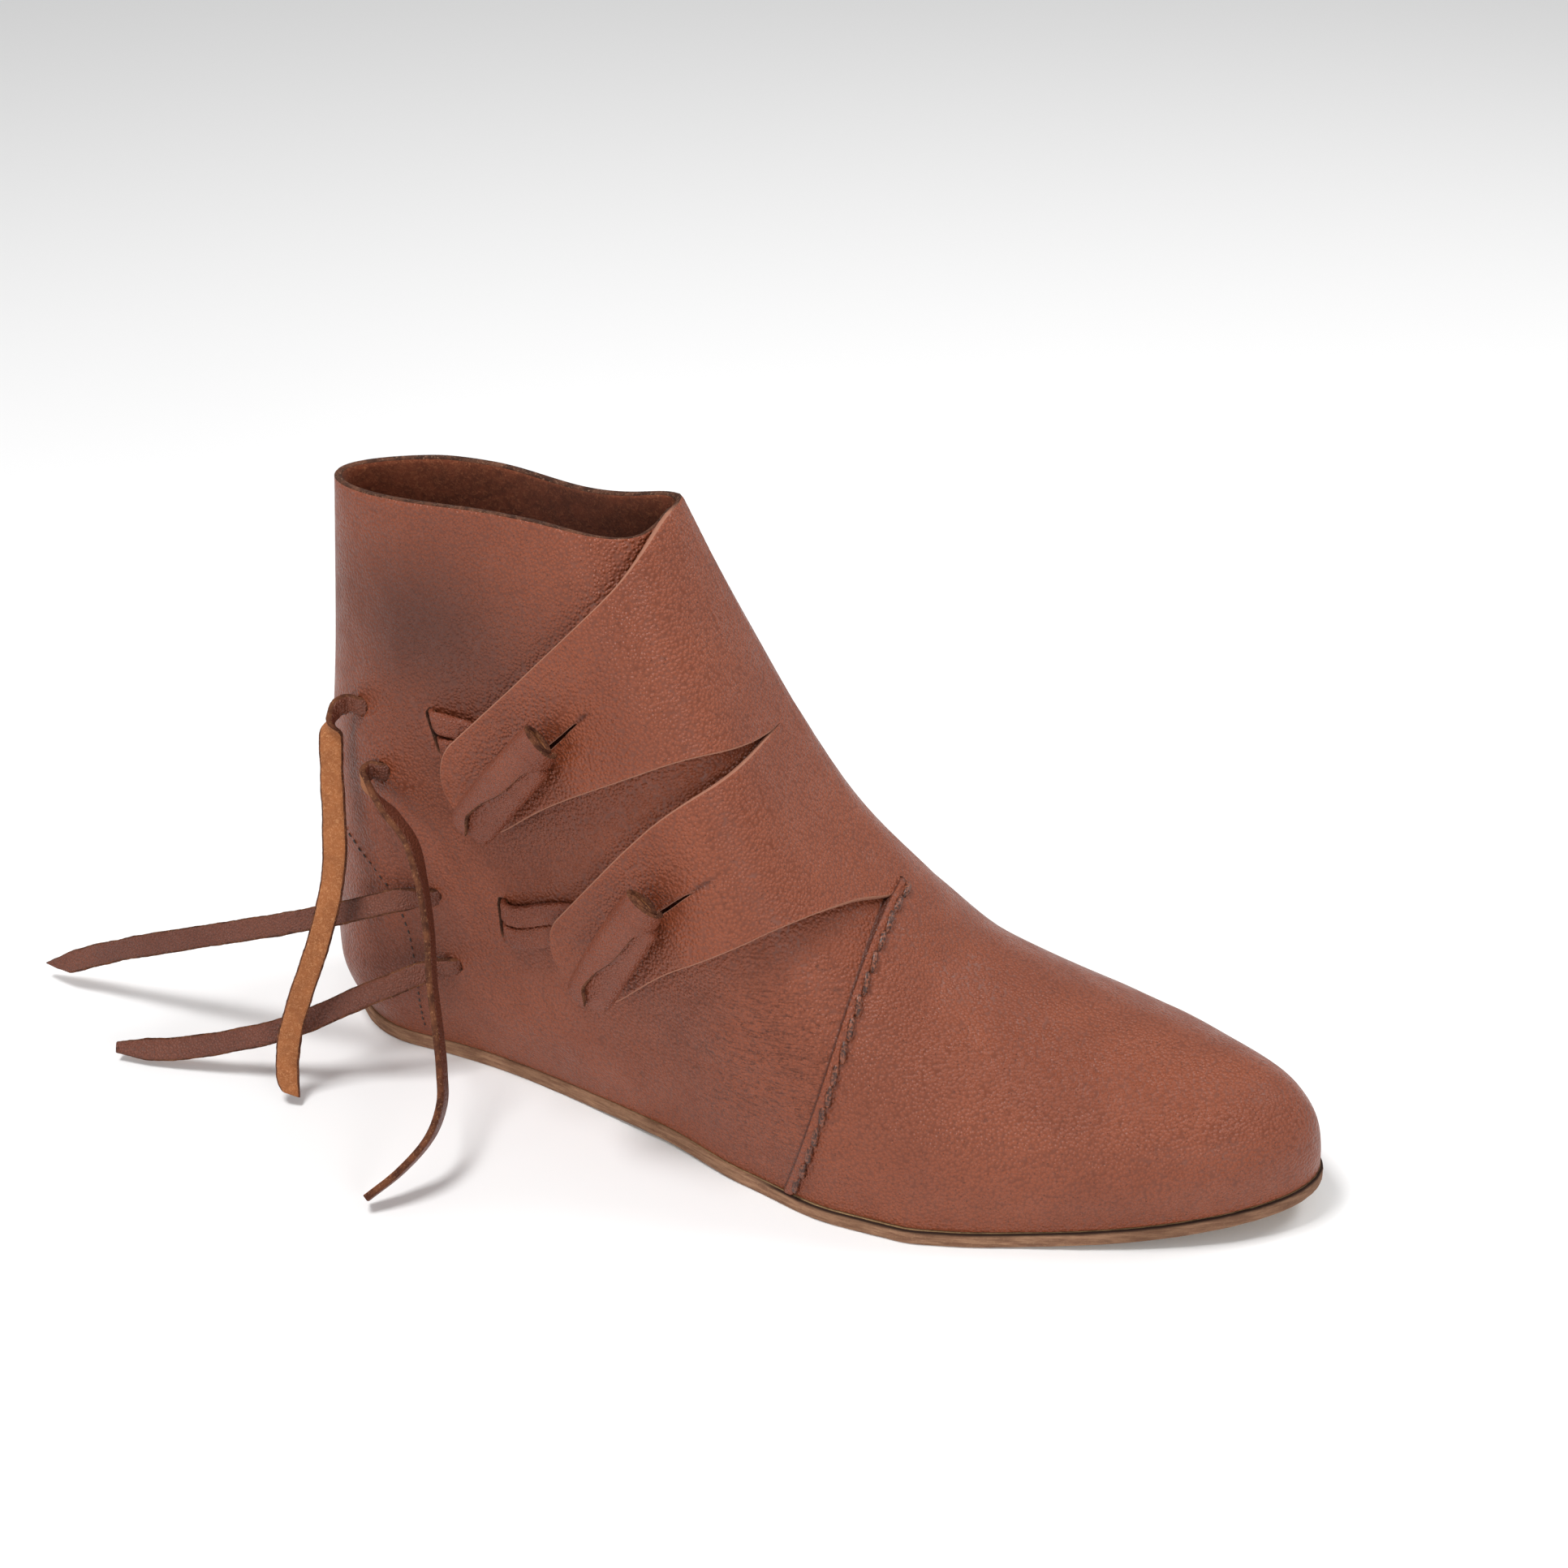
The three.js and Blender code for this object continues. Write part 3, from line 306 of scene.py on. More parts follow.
def ridge_distance(points):
    """How far each point lies from the ridge, in blocks that keep the memory small."""
    flat = np.asarray(points, float).reshape(-1, 3)
    path = np.stack([ridge_x, np.zeros_like(ridge_x), ridge_z], 1)[::4]
    found = np.empty(len(flat))
    block = 4000
    for start in range(0, len(flat), block):
        part = flat[start:start + block]
        found[start:start + block] = np.sqrt(((part[:, None] - path[None]) ** 2).sum(2).min(1))
    return found.reshape(np.shape(points)[:-1])


SEAM_FOOT = 0.556
SEAM_BOW = 0.011
SEAM_SHARE = SEAM_WIDTH / SHOE_LENGTH
SEAM_RING, HEEL_RING, LAST_RING = 15, 25, 35
SECTIONS = table(
    "ring base ridge bow",
    (0, 0.93, 0.0, 0.0),
    (6, 0.83, 0.17, 0.004),
    (11, 0.7, 0.34, 0.01),
    (SEAM_RING, SEAM_FOOT, THROAT_SHARE, SEAM_BOW),
    (SEAM_RING + 1, SEAM_FOOT - SEAM_SHARE, THROAT_SHARE + SEAM_SHARE, SEAM_BOW),
    (20, 0.26, 0.67, 0.0),
    (22, 0.11, 0.725, 0.0),
    (24, 0.027, 0.765, 0.0),
    (HEEL_RING, 0.0175, 0.78, 0.0),
)
SHAFT_SECTIONS = table(
    "ring base ridge",
    (HEEL_RING, 0.0, 0.78),
    (30, 0.5, 0.885),
    (LAST_RING, 1.0, 1.0),
)
RIM_WAVE = table(
    "at lateral medial",
    (0.00, 0.000, 0.000),
    (0.30, 0.000, 0.000),
    (0.60, -0.005, -0.025),
    (0.85, -0.030, -0.005),
    (1.00, 0.000, 0.000),
)
WAVE_START = 0.75


def face_line(side, ring, a):
    """Points of one ring at shares a of the way from its base to the ridge, in the side view."""
    if ring <= HEEL_RING:
        rows = SECTIONS
        base_x = along(rows, "ring", "base", ring) * SHOE_LENGTH
        base_z = feather(base_x)
        bow = along(rows, "ring", "bow", ring) * SHOE_LENGTH
    else:
        rows = SHAFT_SECTIONS
        base_z = mix(float(feather(0)), COLLAR_HEIGHT, along(rows, "ring", "base", ring))
        base_x = back_x(base_z)
        bow = 0.0
    top_x, top_z = ridge_point(along(rows, "ring", "ridge", ring))
    x = mix(base_x, top_x, a) + bow * 4 * a * (1 - a)
    z = mix(base_z, top_z, a)
    y = side * body_half(side, x, z)
    share = np.arccos(np.clip(1 - 2 * a, -1, 1)) / math.pi
    fade = smooth((ring / LAST_RING - WAVE_START) / (1 - WAVE_START))
    wave = along(RIM_WAVE, "at", HAND[side], share) * COLLAR_HEIGHT
    return np.stack([x, y, z + fade * wave], 1)


def even_line(side, ring, count):
    """A ring's points spaced evenly along its true length."""
    dense = (1 - np.cos(np.linspace(0, math.pi, 400))) / 2
    points = face_line(side, ring, dense)
    run = run_along(points)
    a = np.interp(np.linspace(0, run[-1], count), run, dense)
    a[0], a[-1] = 0.0, 1.0
    return face_line(side, ring, a)


# Meshes

def new_object(name, points, faces, materials, indices=None, smooth_angle=None):
    """A mesh object from points of the last's frame, its faces shaded smooth."""
    mesh = bpy.data.meshes.new(name)
    mesh.from_pydata(place(points).tolist(), [], [list(map(int, f)) for f in faces])
    mesh.update()
    mesh.polygons.foreach_set("use_smooth", np.ones(len(mesh.polygons), bool))
    for material in materials:
        mesh.materials.append(material)
    if indices is not None:
        mesh.polygons.foreach_set("material_index", np.asarray(indices, np.int32))
    if smooth_angle is not None:
        mesh.set_sharp_from_angle(angle=smooth_angle)
    thing = bpy.data.objects.new(name, mesh)
    bpy.context.scene.collection.objects.link(thing)
    return thing


def vertex_normals(points, faces):
    """Area-weighted normals; a face is four corners, its last two alike in a triangle."""
    faces = np.asarray(faces)
    a, b, c, d = (points[faces[:, k]] for k in range(4))
    face_normals = np.cross(c - a, d - b)
    normals = np.zeros_like(points)
    for k in range(4):
        np.add.at(normals, faces[:, k], face_normals)
    length = np.linalg.norm(normals, axis=1, keepdims=True)
    return normals / np.where(length == 0, 1, length)


def boundary_edges(faces):
    """The directed open edges of a sheet."""
    edges = {}
    for face in faces:
        corners = [int(v) for i, v in enumerate(face) if v != face[i - 1]]
        for i, v in enumerate(corners):
            w = corners[(i + 1) % len(corners)]
            if (w, v) in edges:
                del edges[(w, v)]
            else:
                edges[(v, w)] = True
    return list(edges)


def clean_faces(faces):
    """Faces as corner lists, with doubled corners taken out."""
    kept = []
    for face in faces:
        corners = [int(v) for i, v in enumerate(face) if v != face[i - 1]]
        if len(corners) > 2:
            kept.append(corners)
    return kept


OUTER, INNER, EDGE = 0, 1, 2


def thick_sheet(points, faces, thickness, rim_round, floor_level=None):
    """Outer and inner faces of a sheet with a soft rim along its open edges. Gives back the points, the
    faces, each face's material and the sheet's point that each new point comes from."""
    normals = vertex_normals(points, faces)
    if floor_level is not None:
        level = np.clip((points[:, 2] - floor_level(points[:, 0])) / (2 * LEATHER), 0, 1)
        normals = normals * np.stack([np.ones_like(level), np.ones_like(level), level], 1)
        normals /= np.maximum(np.linalg.norm(normals, axis=1, keepdims=True), 1e-9)
    inner = points - normals * thickness
    open_edges = boundary_edges(faces)
    out = np.zeros_like(points)
    for v, w in open_edges:
        along_edge = points[w] - points[v]
        away = np.cross(along_edge, normals[v] + normals[w])
        length = np.linalg.norm(away)
        if length > 0:
            out[v] += away / length
            out[w] += away / length
    rim = sorted({v for edge in open_edges for v in edge})
    order = {v: i for i, v in enumerate(rim)}
    out = out[rim]
    out /= np.maximum(np.linalg.norm(out, axis=1, keepdims=True), 1e-9)
    upper_rim = points[rim] - normals[rim] * rim_round + out * rim_round
    lower_rim = inner[rim] + normals[rim] * rim_round + out * rim_round
    count = len(points)
    everything = np.concatenate([points, inner, upper_rim, lower_rim])
    top = clean_faces(faces)
    bottom = [[v + count for v in reversed(face)] for face in top]
    sides, side_index = [], []
    first, second = 2 * count, 2 * count + len(rim)
    for v, w in open_edges:
        a, b = order[v], order[w]
        sides.append([w, v, first + a, first + b])
        sides.append([first + b, first + a, second + a, second + b])
        sides.append([second + b, second + a, v + count, w + count])
        side_index += [EDGE, EDGE, EDGE]
    indices = [OUTER] * len(top) + [INNER] * len(bottom) + side_index
    source = np.concatenate([np.arange(count), np.arange(count), rim, rim])
    return everything, top + bottom + sides, indices, source


def joined(name, parts, materials, smooth_angle=None):
    """One object from several lots of points, faces and material numbers."""
    points, faces, indices = [], [], []
    for part_points, part_faces, part_indices in parts:
        start = sum(len(p) for p in points)
        points.append(np.asarray(part_points, float))
        faces += [[v + start for v in face] for face in part_faces]
        indices += list(part_indices)
    return new_object(name, np.concatenate(points), faces, materials, indices, smooth_angle)


def grid_faces(index):
    """Quads between the rows and columns of a grid of point numbers."""
    a, b = index[:-1, :-1].ravel(), index[:-1, 1:].ravel()
    c, d = index[1:, 1:].ravel(), index[1:, :-1].ravel()
    return np.stack([a, b, c, d], 1)


def tube_faces(rings, around, caps=True):
    """Faces of a tube of closed rings, with one face at each end."""
    index = np.arange(rings * around).reshape(rings, around)
    wrapped = np.concatenate([index, index[:, :1]], 1)
    faces = [list(map(int, face)) for face in grid_faces(wrapped)]
    if caps:
        faces.append([int(v) for v in index[0][::-1]])
        faces.append([int(v) for v in index[-1]])
    return faces


def threaded(points, steps):
    """A smooth curve through points, and for each of its own points a share of the way between them."""
    knots = run_along(points, 0.5)
    padded = np.concatenate([[2 * points[0] - points[1]], points, [2 * points[-1] - points[-2]]])
    ends = np.concatenate([[2 * knots[0] - knots[1]], knots, [2 * knots[-1] - knots[-2]]])
    dense, share = [], []
    for i in range(len(points) - 1):
        t0, t1, t2, t3 = ends[i:i + 4]
        p0, p1, p2, p3 = padded[i:i + 4]
        local = np.linspace(0, 1, steps, endpoint=i == len(points) - 2)
        t = mix(t1, t2, local)[:, None]
        a1 = (t1 - t) / (t1 - t0) * p0 + (t - t0) / (t1 - t0) * p1
        a2 = (t2 - t) / (t2 - t1) * p1 + (t - t1) / (t2 - t1) * p2
        a3 = (t3 - t) / (t3 - t2) * p2 + (t - t2) / (t3 - t2) * p3
        b1 = (t2 - t) / (t2 - t0) * a1 + (t - t0) / (t2 - t0) * a2
        b2 = (t3 - t) / (t3 - t1) * a2 + (t - t1) / (t3 - t1) * a3
        dense.append((t2 - t) / (t2 - t1) * b1 + (t - t1) / (t2 - t1) * b2)
        share.append(i + local)
    return np.concatenate(dense), np.concatenate(share)


# Materials

def linear(red, green, blue):
    """A colour given as screen values from 0 to 255, as the shader wants it."""
    values = [v / 255 for v in (red, green, blue)]
    return tuple(v / 12.92 if v <= 0.04045 else ((v + 0.055) / 1.055) ** 2.4 for v in values) + (1.0,)


class Look:
    """A material's node tree, with short calls for the nodes that this file uses."""

    def __init__(self, name, roughness=0.6, specular=0.4):
        self.material = bpy.data.materials.new(name)
        self.material.use_nodes = True
        self.tree = self.material.node_tree
        self.shader = self.tree.nodes["Principled BSDF"]
        self.shader.inputs["Roughness"].default_value = roughness
        self.shader.inputs["Specular IOR Level"].default_value = specular
        self.place = self.tree.nodes.new("ShaderNodeTexCoord").outputs["Object"]

    def join(self, socket, value):
        if isinstance(value, bpy.types.NodeSocket):
            self.tree.links.new(value, socket)
        else:
            socket.default_value = value

    def noise(self, size, detail=4.0, rough=0.55, twist=0.0, place=None):
        """Noise whose blots are about size millimetres across."""
        node = self.tree.nodes.new("ShaderNodeTexNoise")
        self.join(node.inputs["Vector"], place or self.place)
        node.inputs["Scale"].default_value = 1 / (size * MM)
        node.inputs["Detail"].default_value = detail
        node.inputs["Roughness"].default_value = rough
        node.inputs["Distortion"].default_value = twist
        return node.outputs["Fac"]

    def cells(self, size, place=None):
        node = self.tree.nodes.new("ShaderNodeTexVoronoi")
        self.join(node.inputs["Vector"], place or self.place)
        node.inputs["Scale"].default_value = 1 / (size * MM)
        return node.outputs["Distance"]

    def stretched(self, x=1.0, y=1.0, z=1.0):
        node = self.tree.nodes.new("ShaderNodeMapping")
        self.join(node.inputs["Vector"], self.place)
        node.inputs["Scale"].default_value = (x, y, z)
        return node.outputs["Vector"]

    def own(self, name):
        """A value that the mesh holds at each of its points."""
        node = self.tree.nodes.new("ShaderNodeAttribute")
        node.attribute_name = name
        return node.outputs["Fac"]

    def span(self, value, low, high, to_low=0.0, to_high=1.0):
        node = self.tree.nodes.new("ShaderNodeMapRange")
        node.interpolation_type = "SMOOTHSTEP"
        for name, given in zip(("Value", "From Min", "From Max", "To Min", "To Max"),
                               (value, low, high, to_low, to_high)):
            self.join(node.inputs[name], given)
        return node.outputs["Result"]

    def maths(self, operation, a, b=0.0):
        node = self.tree.nodes.new("ShaderNodeMath")
        node.operation = operation
        self.join(node.inputs[0], a)
        self.join(node.inputs[1], b)
        return node.outputs[0]

    def blend(self, share, a, b):
        """Colour a, with a share of colour b over it."""
        node = self.tree.nodes.new("ShaderNodeMix")
        node.data_type = "RGBA"
        self.join(node.inputs["Factor"], share)
        self.join(node.inputs[6], a)
        self.join(node.inputs[7], b)
        return node.outputs[2]

    def bump(self, height, depth, strength=1.0, below=None):
        """A relief of depth millimetres on the surface, or on the relief below it."""
        node = self.tree.nodes.new("ShaderNodeBump")
        node.inputs["Strength"].default_value = strength
        node.inputs["Distance"].default_value = depth * MM
        self.join(node.inputs["Height"], height)
        if below is not None:
            self.join(node.inputs["Normal"], below)
        return node.outputs["Normal"]

    def finish(self, colour=None, roughness=None, normal=None):
        for name, value in (("Base Color", colour), ("Roughness", roughness), ("Normal", normal)):
            if value is not None:
                self.join(self.shader.inputs[name], value)
        return self.material


def grain_leather(name, base, light, dark, pore=0.8, gloss=0.44):
    """Smooth-side leather: russet clouds, fine pores and pebbles, a satin gloss, wear by the edges, and
    painted shade in soft patches, in wrinkle lines and along grooves.
    """
    look = Look(name, specular=0.36)
    look.shader.inputs["Coat Weight"].default_value = 0.08
    look.shader.inputs["Coat Roughness"].default_value = 0.38
    clouds = look.noise(26, detail=5, twist=0.6)
    blots = look.noise(7, detail=5)
    pebbles = look.cells(pore * 1.15)
    pores = look.cells(pore, place=look.stretched(1.0, 1.0, 1.15))
    grit = look.noise(0.5, detail=3)
    colour = look.blend(look.span(clouds, 0.34, 0.68, 0.2, 0.8), base, light)
    colour = look.blend(look.span(blots, 0.45, 0.8, 0.0, 0.08), colour, dark)
    colour = look.blend(look.span(pebbles, 0.4, 0.9, 0.0, 0.45), colour, dark)
    pits = look.span(pores, 0.02, 0.34, 1.0, 0.0)
    scattered = look.maths("MULTIPLY", pits, look.span(look.noise(2.2, detail=2), 0.46, 0.62))
    colour = look.blend(look.maths("MULTIPLY", scattered, 0.85), colour, dark)
    # Painted shade: soft darker patches on the outer side where the shoe falls into shade
    colour = look.blend(look.own("painted_shade"), colour, dark)
    lines = look.noise(3.2, detail=4, twist=0.9, place=look.stretched(0.5, 0.5, 2.6))
    lines = look.maths("ABSOLUTE", look.maths("SUBTRACT", lines, 0.5))
    lines = look.maths("MULTIPLY", look.span(lines, 0.0, 0.018, 1.0, 0.0), look.own("wrinkle"))
    # Painted shade in the wrinkle lines, on top of their bump
    colour = look.blend(look.maths("MULTIPLY", lines, 0.25), colour, dark)
    # Painted shade along the seam strip's edges and in the flaps' scored slit lines
    colour = look.blend(look.maths("MULTIPLY", look.own("painted_groove_shade"), 0.85), colour, dark)
    pale = look.maths("MULTIPLY", look.own("rim"), look.span(grit, 0.35, 0.6, 0.35, 1.0))
    colour = look.blend(look.maths("MULTIPLY", pale, 0.55), colour, light)
    rough = look.span(blots, 0.3, 0.75, gloss - 0.07, gloss + 0.1)
    normal = look.bump(look.span(pebbles, 0.0, 0.8, 1.0, 0.0), 0.34, 1.0)
    normal = look.bump(look.maths("MULTIPLY", lines, -1.0), 0.3, 0.9, normal)
    normal = look.bump(look.maths("MULTIPLY", scattered, -1.0), 0.12, 0.7, normal)
    normal = look.bump(grit, 0.07, 0.6, normal)
    normal = look.bump(look.noise(6, detail=3, twist=0.6), 0.2, 0.2, normal)
    return look.finish(colour, rough, normal)


def suede(name, base, light, dark, nap=0.9):
    """The flesh side: matt, mottled and fibrous."""
    look = Look(name, roughness=0.95, specular=0.15)
    mottle = look.noise(5.5, detail=6, rough=0.65, twist=0.8)
    fibre = look.noise(nap, detail=5, rough=0.75, twist=1.2)
    colour = look.blend(look.span(mottle, 0.36, 0.66, 0.5, 1.0), dark, base)
    colour = look.blend(look.span(fibre, 0.46, 0.7, 0.0, 0.75), colour, light)
    normal = look.bump(fibre, 0.35, 0.8)
    normal = look.bump(mottle, 0.5, 0.4, normal)
    look.shader.inputs["Sheen Weight"].default_value = 0.06
    look.shader.inputs["Sheen Roughness"].default_value = 0.6
    return look.finish(colour, None, normal)


def cut_edge(name, base, light, dark, flap):
    """A raw cut edge: dark, fuzzy, with pale specks of fibre, and paler on the flaps."""
    look = Look(name, roughness=0.9, specular=0.2)
    specks = look.noise(0.7, detail=5, rough=0.8)
    bands = look.noise(3.0, detail=3)
    colour = look.blend(look.span(bands, 0.35, 0.7), dark, base)
    colour = look.blend(look.own("flap"), colour, flap)
    colour = look.blend(look.span(specks, 0.52, 0.72, 0.0, 0.7), colour, light)
    normal = look.bump(specks, 0.3, 0.9)
    return look.finish(colour, None, normal)


def sole_edge(name):
    """The sole's raw edge: fibres in level layers, tan to olive brown, darker to the toe, with painted
    shade along its top in the gap under the upper from the middle to the toe.
    """
    look = Look(name, roughness=0.85, specular=0.2)
    layers = look.noise(1.1, detail=5, rough=0.7, place=look.stretched(0.12, 0.12, 1.0))
    grit = look.noise(0.8, detail=5, rough=0.8)
    broad = look.noise(24, detail=3)
    colour = look.blend(look.span(layers, 0.35, 0.66), linear(122, 86, 66), linear(166, 126, 98))
    colour = look.blend(look.span(grit, 0.5, 0.75, 0.0, 0.5), colour, linear(182, 146, 110))
    colour = look.blend(look.span(broad, 0.4, 0.7, 0.0, 0.4), colour, linear(96, 66, 46))
    colour = look.blend(look.maths("MULTIPLY", look.own("toe"), 0.4), colour, linear(84, 56, 42))
    # Painted shade along the top of the edge, in the gap under the upper
    colour = look.blend(look.own("painted_gap_shade"), colour, linear(44, 26, 18))
    normal = look.bump(layers, 0.45, 0.9)
    normal = look.bump(grit, 0.25, 0.8, normal)
    return look.finish(colour, None, normal)


RUSSET, RUSSET_LIGHT, RUSSET_DARK = linear(125, 61, 36), linear(140, 71, 43), linear(68, 30, 17)
upper_grain = grain_leather("upper_grain", RUSSET, RUSSET_LIGHT, RUSSET_DARK)
upper_suede = suede("upper_suede", linear(128, 66, 42), linear(172, 106, 72), linear(70, 34, 22), nap=1.1)
upper_edge = cut_edge("upper_edge", linear(96, 60, 44), linear(176, 136, 110), linear(56, 33, 24),
                      linear(158, 108, 88))
thong_grain = grain_leather("thong_grain", linear(118, 57, 35), linear(134, 68, 43), linear(66, 32, 21),
                            pore=0.6, gloss=0.36)
tail_grain = grain_leather("tail_grain", linear(98, 50, 34), linear(116, 62, 42), linear(54, 28, 19),
                           pore=0.6, gloss=0.46)
thong_suede = suede("thong_suede", linear(160, 98, 58), linear(202, 144, 98), linear(120, 70, 40), nap=0.7)
thong_edge = cut_edge("thong_edge", linear(108, 64, 42), linear(190, 136, 96), linear(70, 38, 26),
                      linear(108, 64, 42))
sole_side = sole_edge("sole_side")
sole_face = suede("sole_face", linear(150, 118, 82), linear(178, 146, 108), linear(104, 78, 52), nap=1.4)
lining = suede("lining", linear(92, 60, 42), linear(128, 92, 66), linear(56, 36, 26))


def thread(name, base, dark):
    look = Look(name, roughness=0.42, specular=0.45)
    twist = look.noise(0.7, detail=3)
    colour = look.blend(look.span(twist, 0.4, 0.65), dark, base)
    return look.finish(colour, None, look.bump(twist, 0.1, 0.8))


seam_thread = thread("seam_thread", linear(134, 76, 52), linear(58, 29, 20))
dark_thread = thread("dark_thread", linear(64, 36, 26), linear(34, 20, 14))


# Cords

def thong_frames(rows, count):
    """Points, width directions, widths and run of a flat thong, evenly spaced along its rows."""
    points = np.array([row[0] for row in rows], float)
    across = np.array([row[1] for row in rows], float)
    widths = np.array([row[2] for row in rows], float)
    dense, share = threaded(points, 30)
    run = run_along(dense)
    at = np.linspace(0, run[-1], count)
    row = np.interp(at, run, share)
    numbers = np.arange(len(points))
    centre = evenly(at, run, dense)
    wide = evenly(row, numbers, across)
    width = np.interp(row, numbers, widths)
    forward = unit(np.gradient(centre, axis=0))
    wide = unit(wide - forward * (wide * forward).sum(1, keepdims=True))
    return centre, wide, np.cross(wide, forward), width, at


GRAIN, FLESH, RAW = 0, 1, 2
RAGGED = 0.09
TAIL_STEP, STRAND_STEP = 0.7, 0.6
STRAND_CREASES, CREASE_HEIGHT = 2.6, 0.14


def thong_mesh(rows, spacing, cut=0.0, crease_pitch=0.0, seed=0):
    """A flat thong with soft corners, ragged raw edges, a slanted end and grain on one face. Its section
    has sixteen points, each with a hand and its shares of half the width and half the thickness."""
    draws = np.random.default_rng(seed)
    rough_length = sum(np.linalg.norm(np.subtract(b[0], a[0])) for a, b in zip(rows, rows[1:]))
    count = int(rough_length / spacing)
    centre, wide, flat, width, at = thong_frames(rows, count)
    half_thick = THONG_THICKNESS / 2
    columns = []
    for hand_wide, hand_flat in ((1, 1), (-1, 1), (-1, -1), (1, -1)):
        corner = [(hand_wide, 1.0, hand_flat * 0.35), (hand_wide, 0.86, hand_flat * 0.86)]
        inner = [(hand_wide, 0.62, hand_flat), (hand_wide, 0.22, hand_flat)]
        columns += corner + inner if hand_wide * hand_flat > 0 else (corner + inner)[::-1]
    wobble = np.zeros((count, 2))
    for side in (0, 1):
        draw = draws.normal(size=count + 8)
        wobble[:, side] = np.convolve(draw, np.ones(9) / 9, "valid")[:count] * RAGGED * 3
    fade = smooth(at / 6)
    tail_start = at[-1] - max(cut * 1.5, 1.0)
    points = np.empty((count, len(columns), 3))
    for j, (hand, s, d) in enumerate(columns):
        ragged = wobble[:, 0 if hand > 0 else 1] * fade * s**2
        sideways = hand * (width / 2 * s + ragged)
        thick = d * half_thick
        if crease_pitch:
            ripple = np.sin(at / crease_pitch * 2 * math.pi + sideways * 0.5) ** 3
            thick = thick + np.sign(d) * CREASE_HEIGHT * ripple
        spot = centre + wide * sideways[:, None] + flat * (thick * np.ones(count))[:, None]
        if cut:
            back = cut * (1 - hand * s) / 2
            part = np.clip((at - tail_start) / (at[-1] - tail_start), 0, 1)
            moved = at - part * back
            spot = spot + evenly(moved, at, centre) - centre
        points[:, j] = spot
    points = points.reshape(-1, 3)
    faces = tube_faces(count, len(columns))
    indices = []
    for face in faces:
        if len(face) > 4:
            indices.append(RAW)
            continue
        used = [columns[v % len(columns)] for v in face]
        depth = sum(d for _, _, d in used) / len(used)
        reach = min(s for _, s, _ in used)
        if reach > 0.8:
            indices.append(RAW)
        else:
            indices.append(GRAIN if depth > 0 else FLESH)
    return points, faces, indices, centre, at[-1]


# The outer side in the side view, and the toggles' and flaps' places there, as the solids have them

PROBE = 0.5


def on_face(x, z, off):
    """A point off the outer side's face, and the face's directions, at a place in the side view."""
    def at(px, pz):
        return np.array([px, LATERAL * float(body_half(LATERAL, px, pz)), pz])
    forward = unit(at(x + PROBE, z) - at(x - PROBE, z))
    upward = unit(at(x, z + PROBE) - at(x, z - PROBE))
    normal = unit(np.cross(upward, forward))
    if normal[1] > 0:
        normal = -normal
    return at(x, z) + normal * off, forward, upward, normal


def side_place(reach, height):
    return np.array([reach * THROAT_REACH, height * COLLAR_HEIGHT])


TOGGLES = [
    {
        "name": "upper",
        "centre": side_place(0.4594, 0.6399),
        "lean": 53,
        "slit_lean": 48,
        "slot": side_place(0.2713, 0.6466),
        "slot_lean": 109,
        "holes": [side_place(0.1298, 0.6463), side_place(0.1755, 0.55)],
    },
    {
        "name": "lower",
        "centre": side_place(0.6532, 0.422),
        "lean": 61,
        "slit_lean": 45,
        "slot": side_place(0.3833, 0.337),
        "slot_lean": 94,
        "holes": [side_place(0.259, 0.3378), side_place(0.2883, 0.2104)],
    },
]
NOTCH_SHARE = 0.755
FLAPS = [
    {
        "end": side_place(0.3795, 0.5927),
        "top": [side_place(0.5906, 0.9555), side_place(0.4749, 0.8116)],
        "bottom": [side_place(0.5146, 0.6037), side_place(0.6164, 0.672), side_place(0.7205, 0.7256)],
        "ridge": (1.0, NOTCH_SHARE),
    },
    {
        "end": side_place(0.5807, 0.353),
        "top": [side_place(0.7322, 0.6628), side_place(0.6462, 0.5677)],
        "bottom": [
            side_place(0.6901, 0.3512), side_place(0.7591, 0.4091),
            side_place(0.8538, 0.4713), side_place(0.9433, 0.4756),
        ],
        "ridge": (NOTCH_SHARE, THROAT_SHARE),
    },
]
EYE_LONG = 2 * GATHERED_WIDTH + 3 * CLEARANCE + THONG_THICKNESS
EYE_WIDE = THONG_THICKNESS + 5.5 * CLEARANCE
FLAP_RISE = THONG_THICKNESS + SEAT + CLEARANCE
FLAP_FACE = LEATHER + SEAT + FLAP_RISE + CLEARANCE
BARREL_OFF = FLAP_FACE + SEAT + TOGGLE_RADIUS
OVER_QUARTER = THONG_THICKNESS / 2 + 1.5 * CLEARANCE
INSIDE_WALL = -(LEATHER + 3 * CLEARANCE + THONG_THICKNESS / 2)

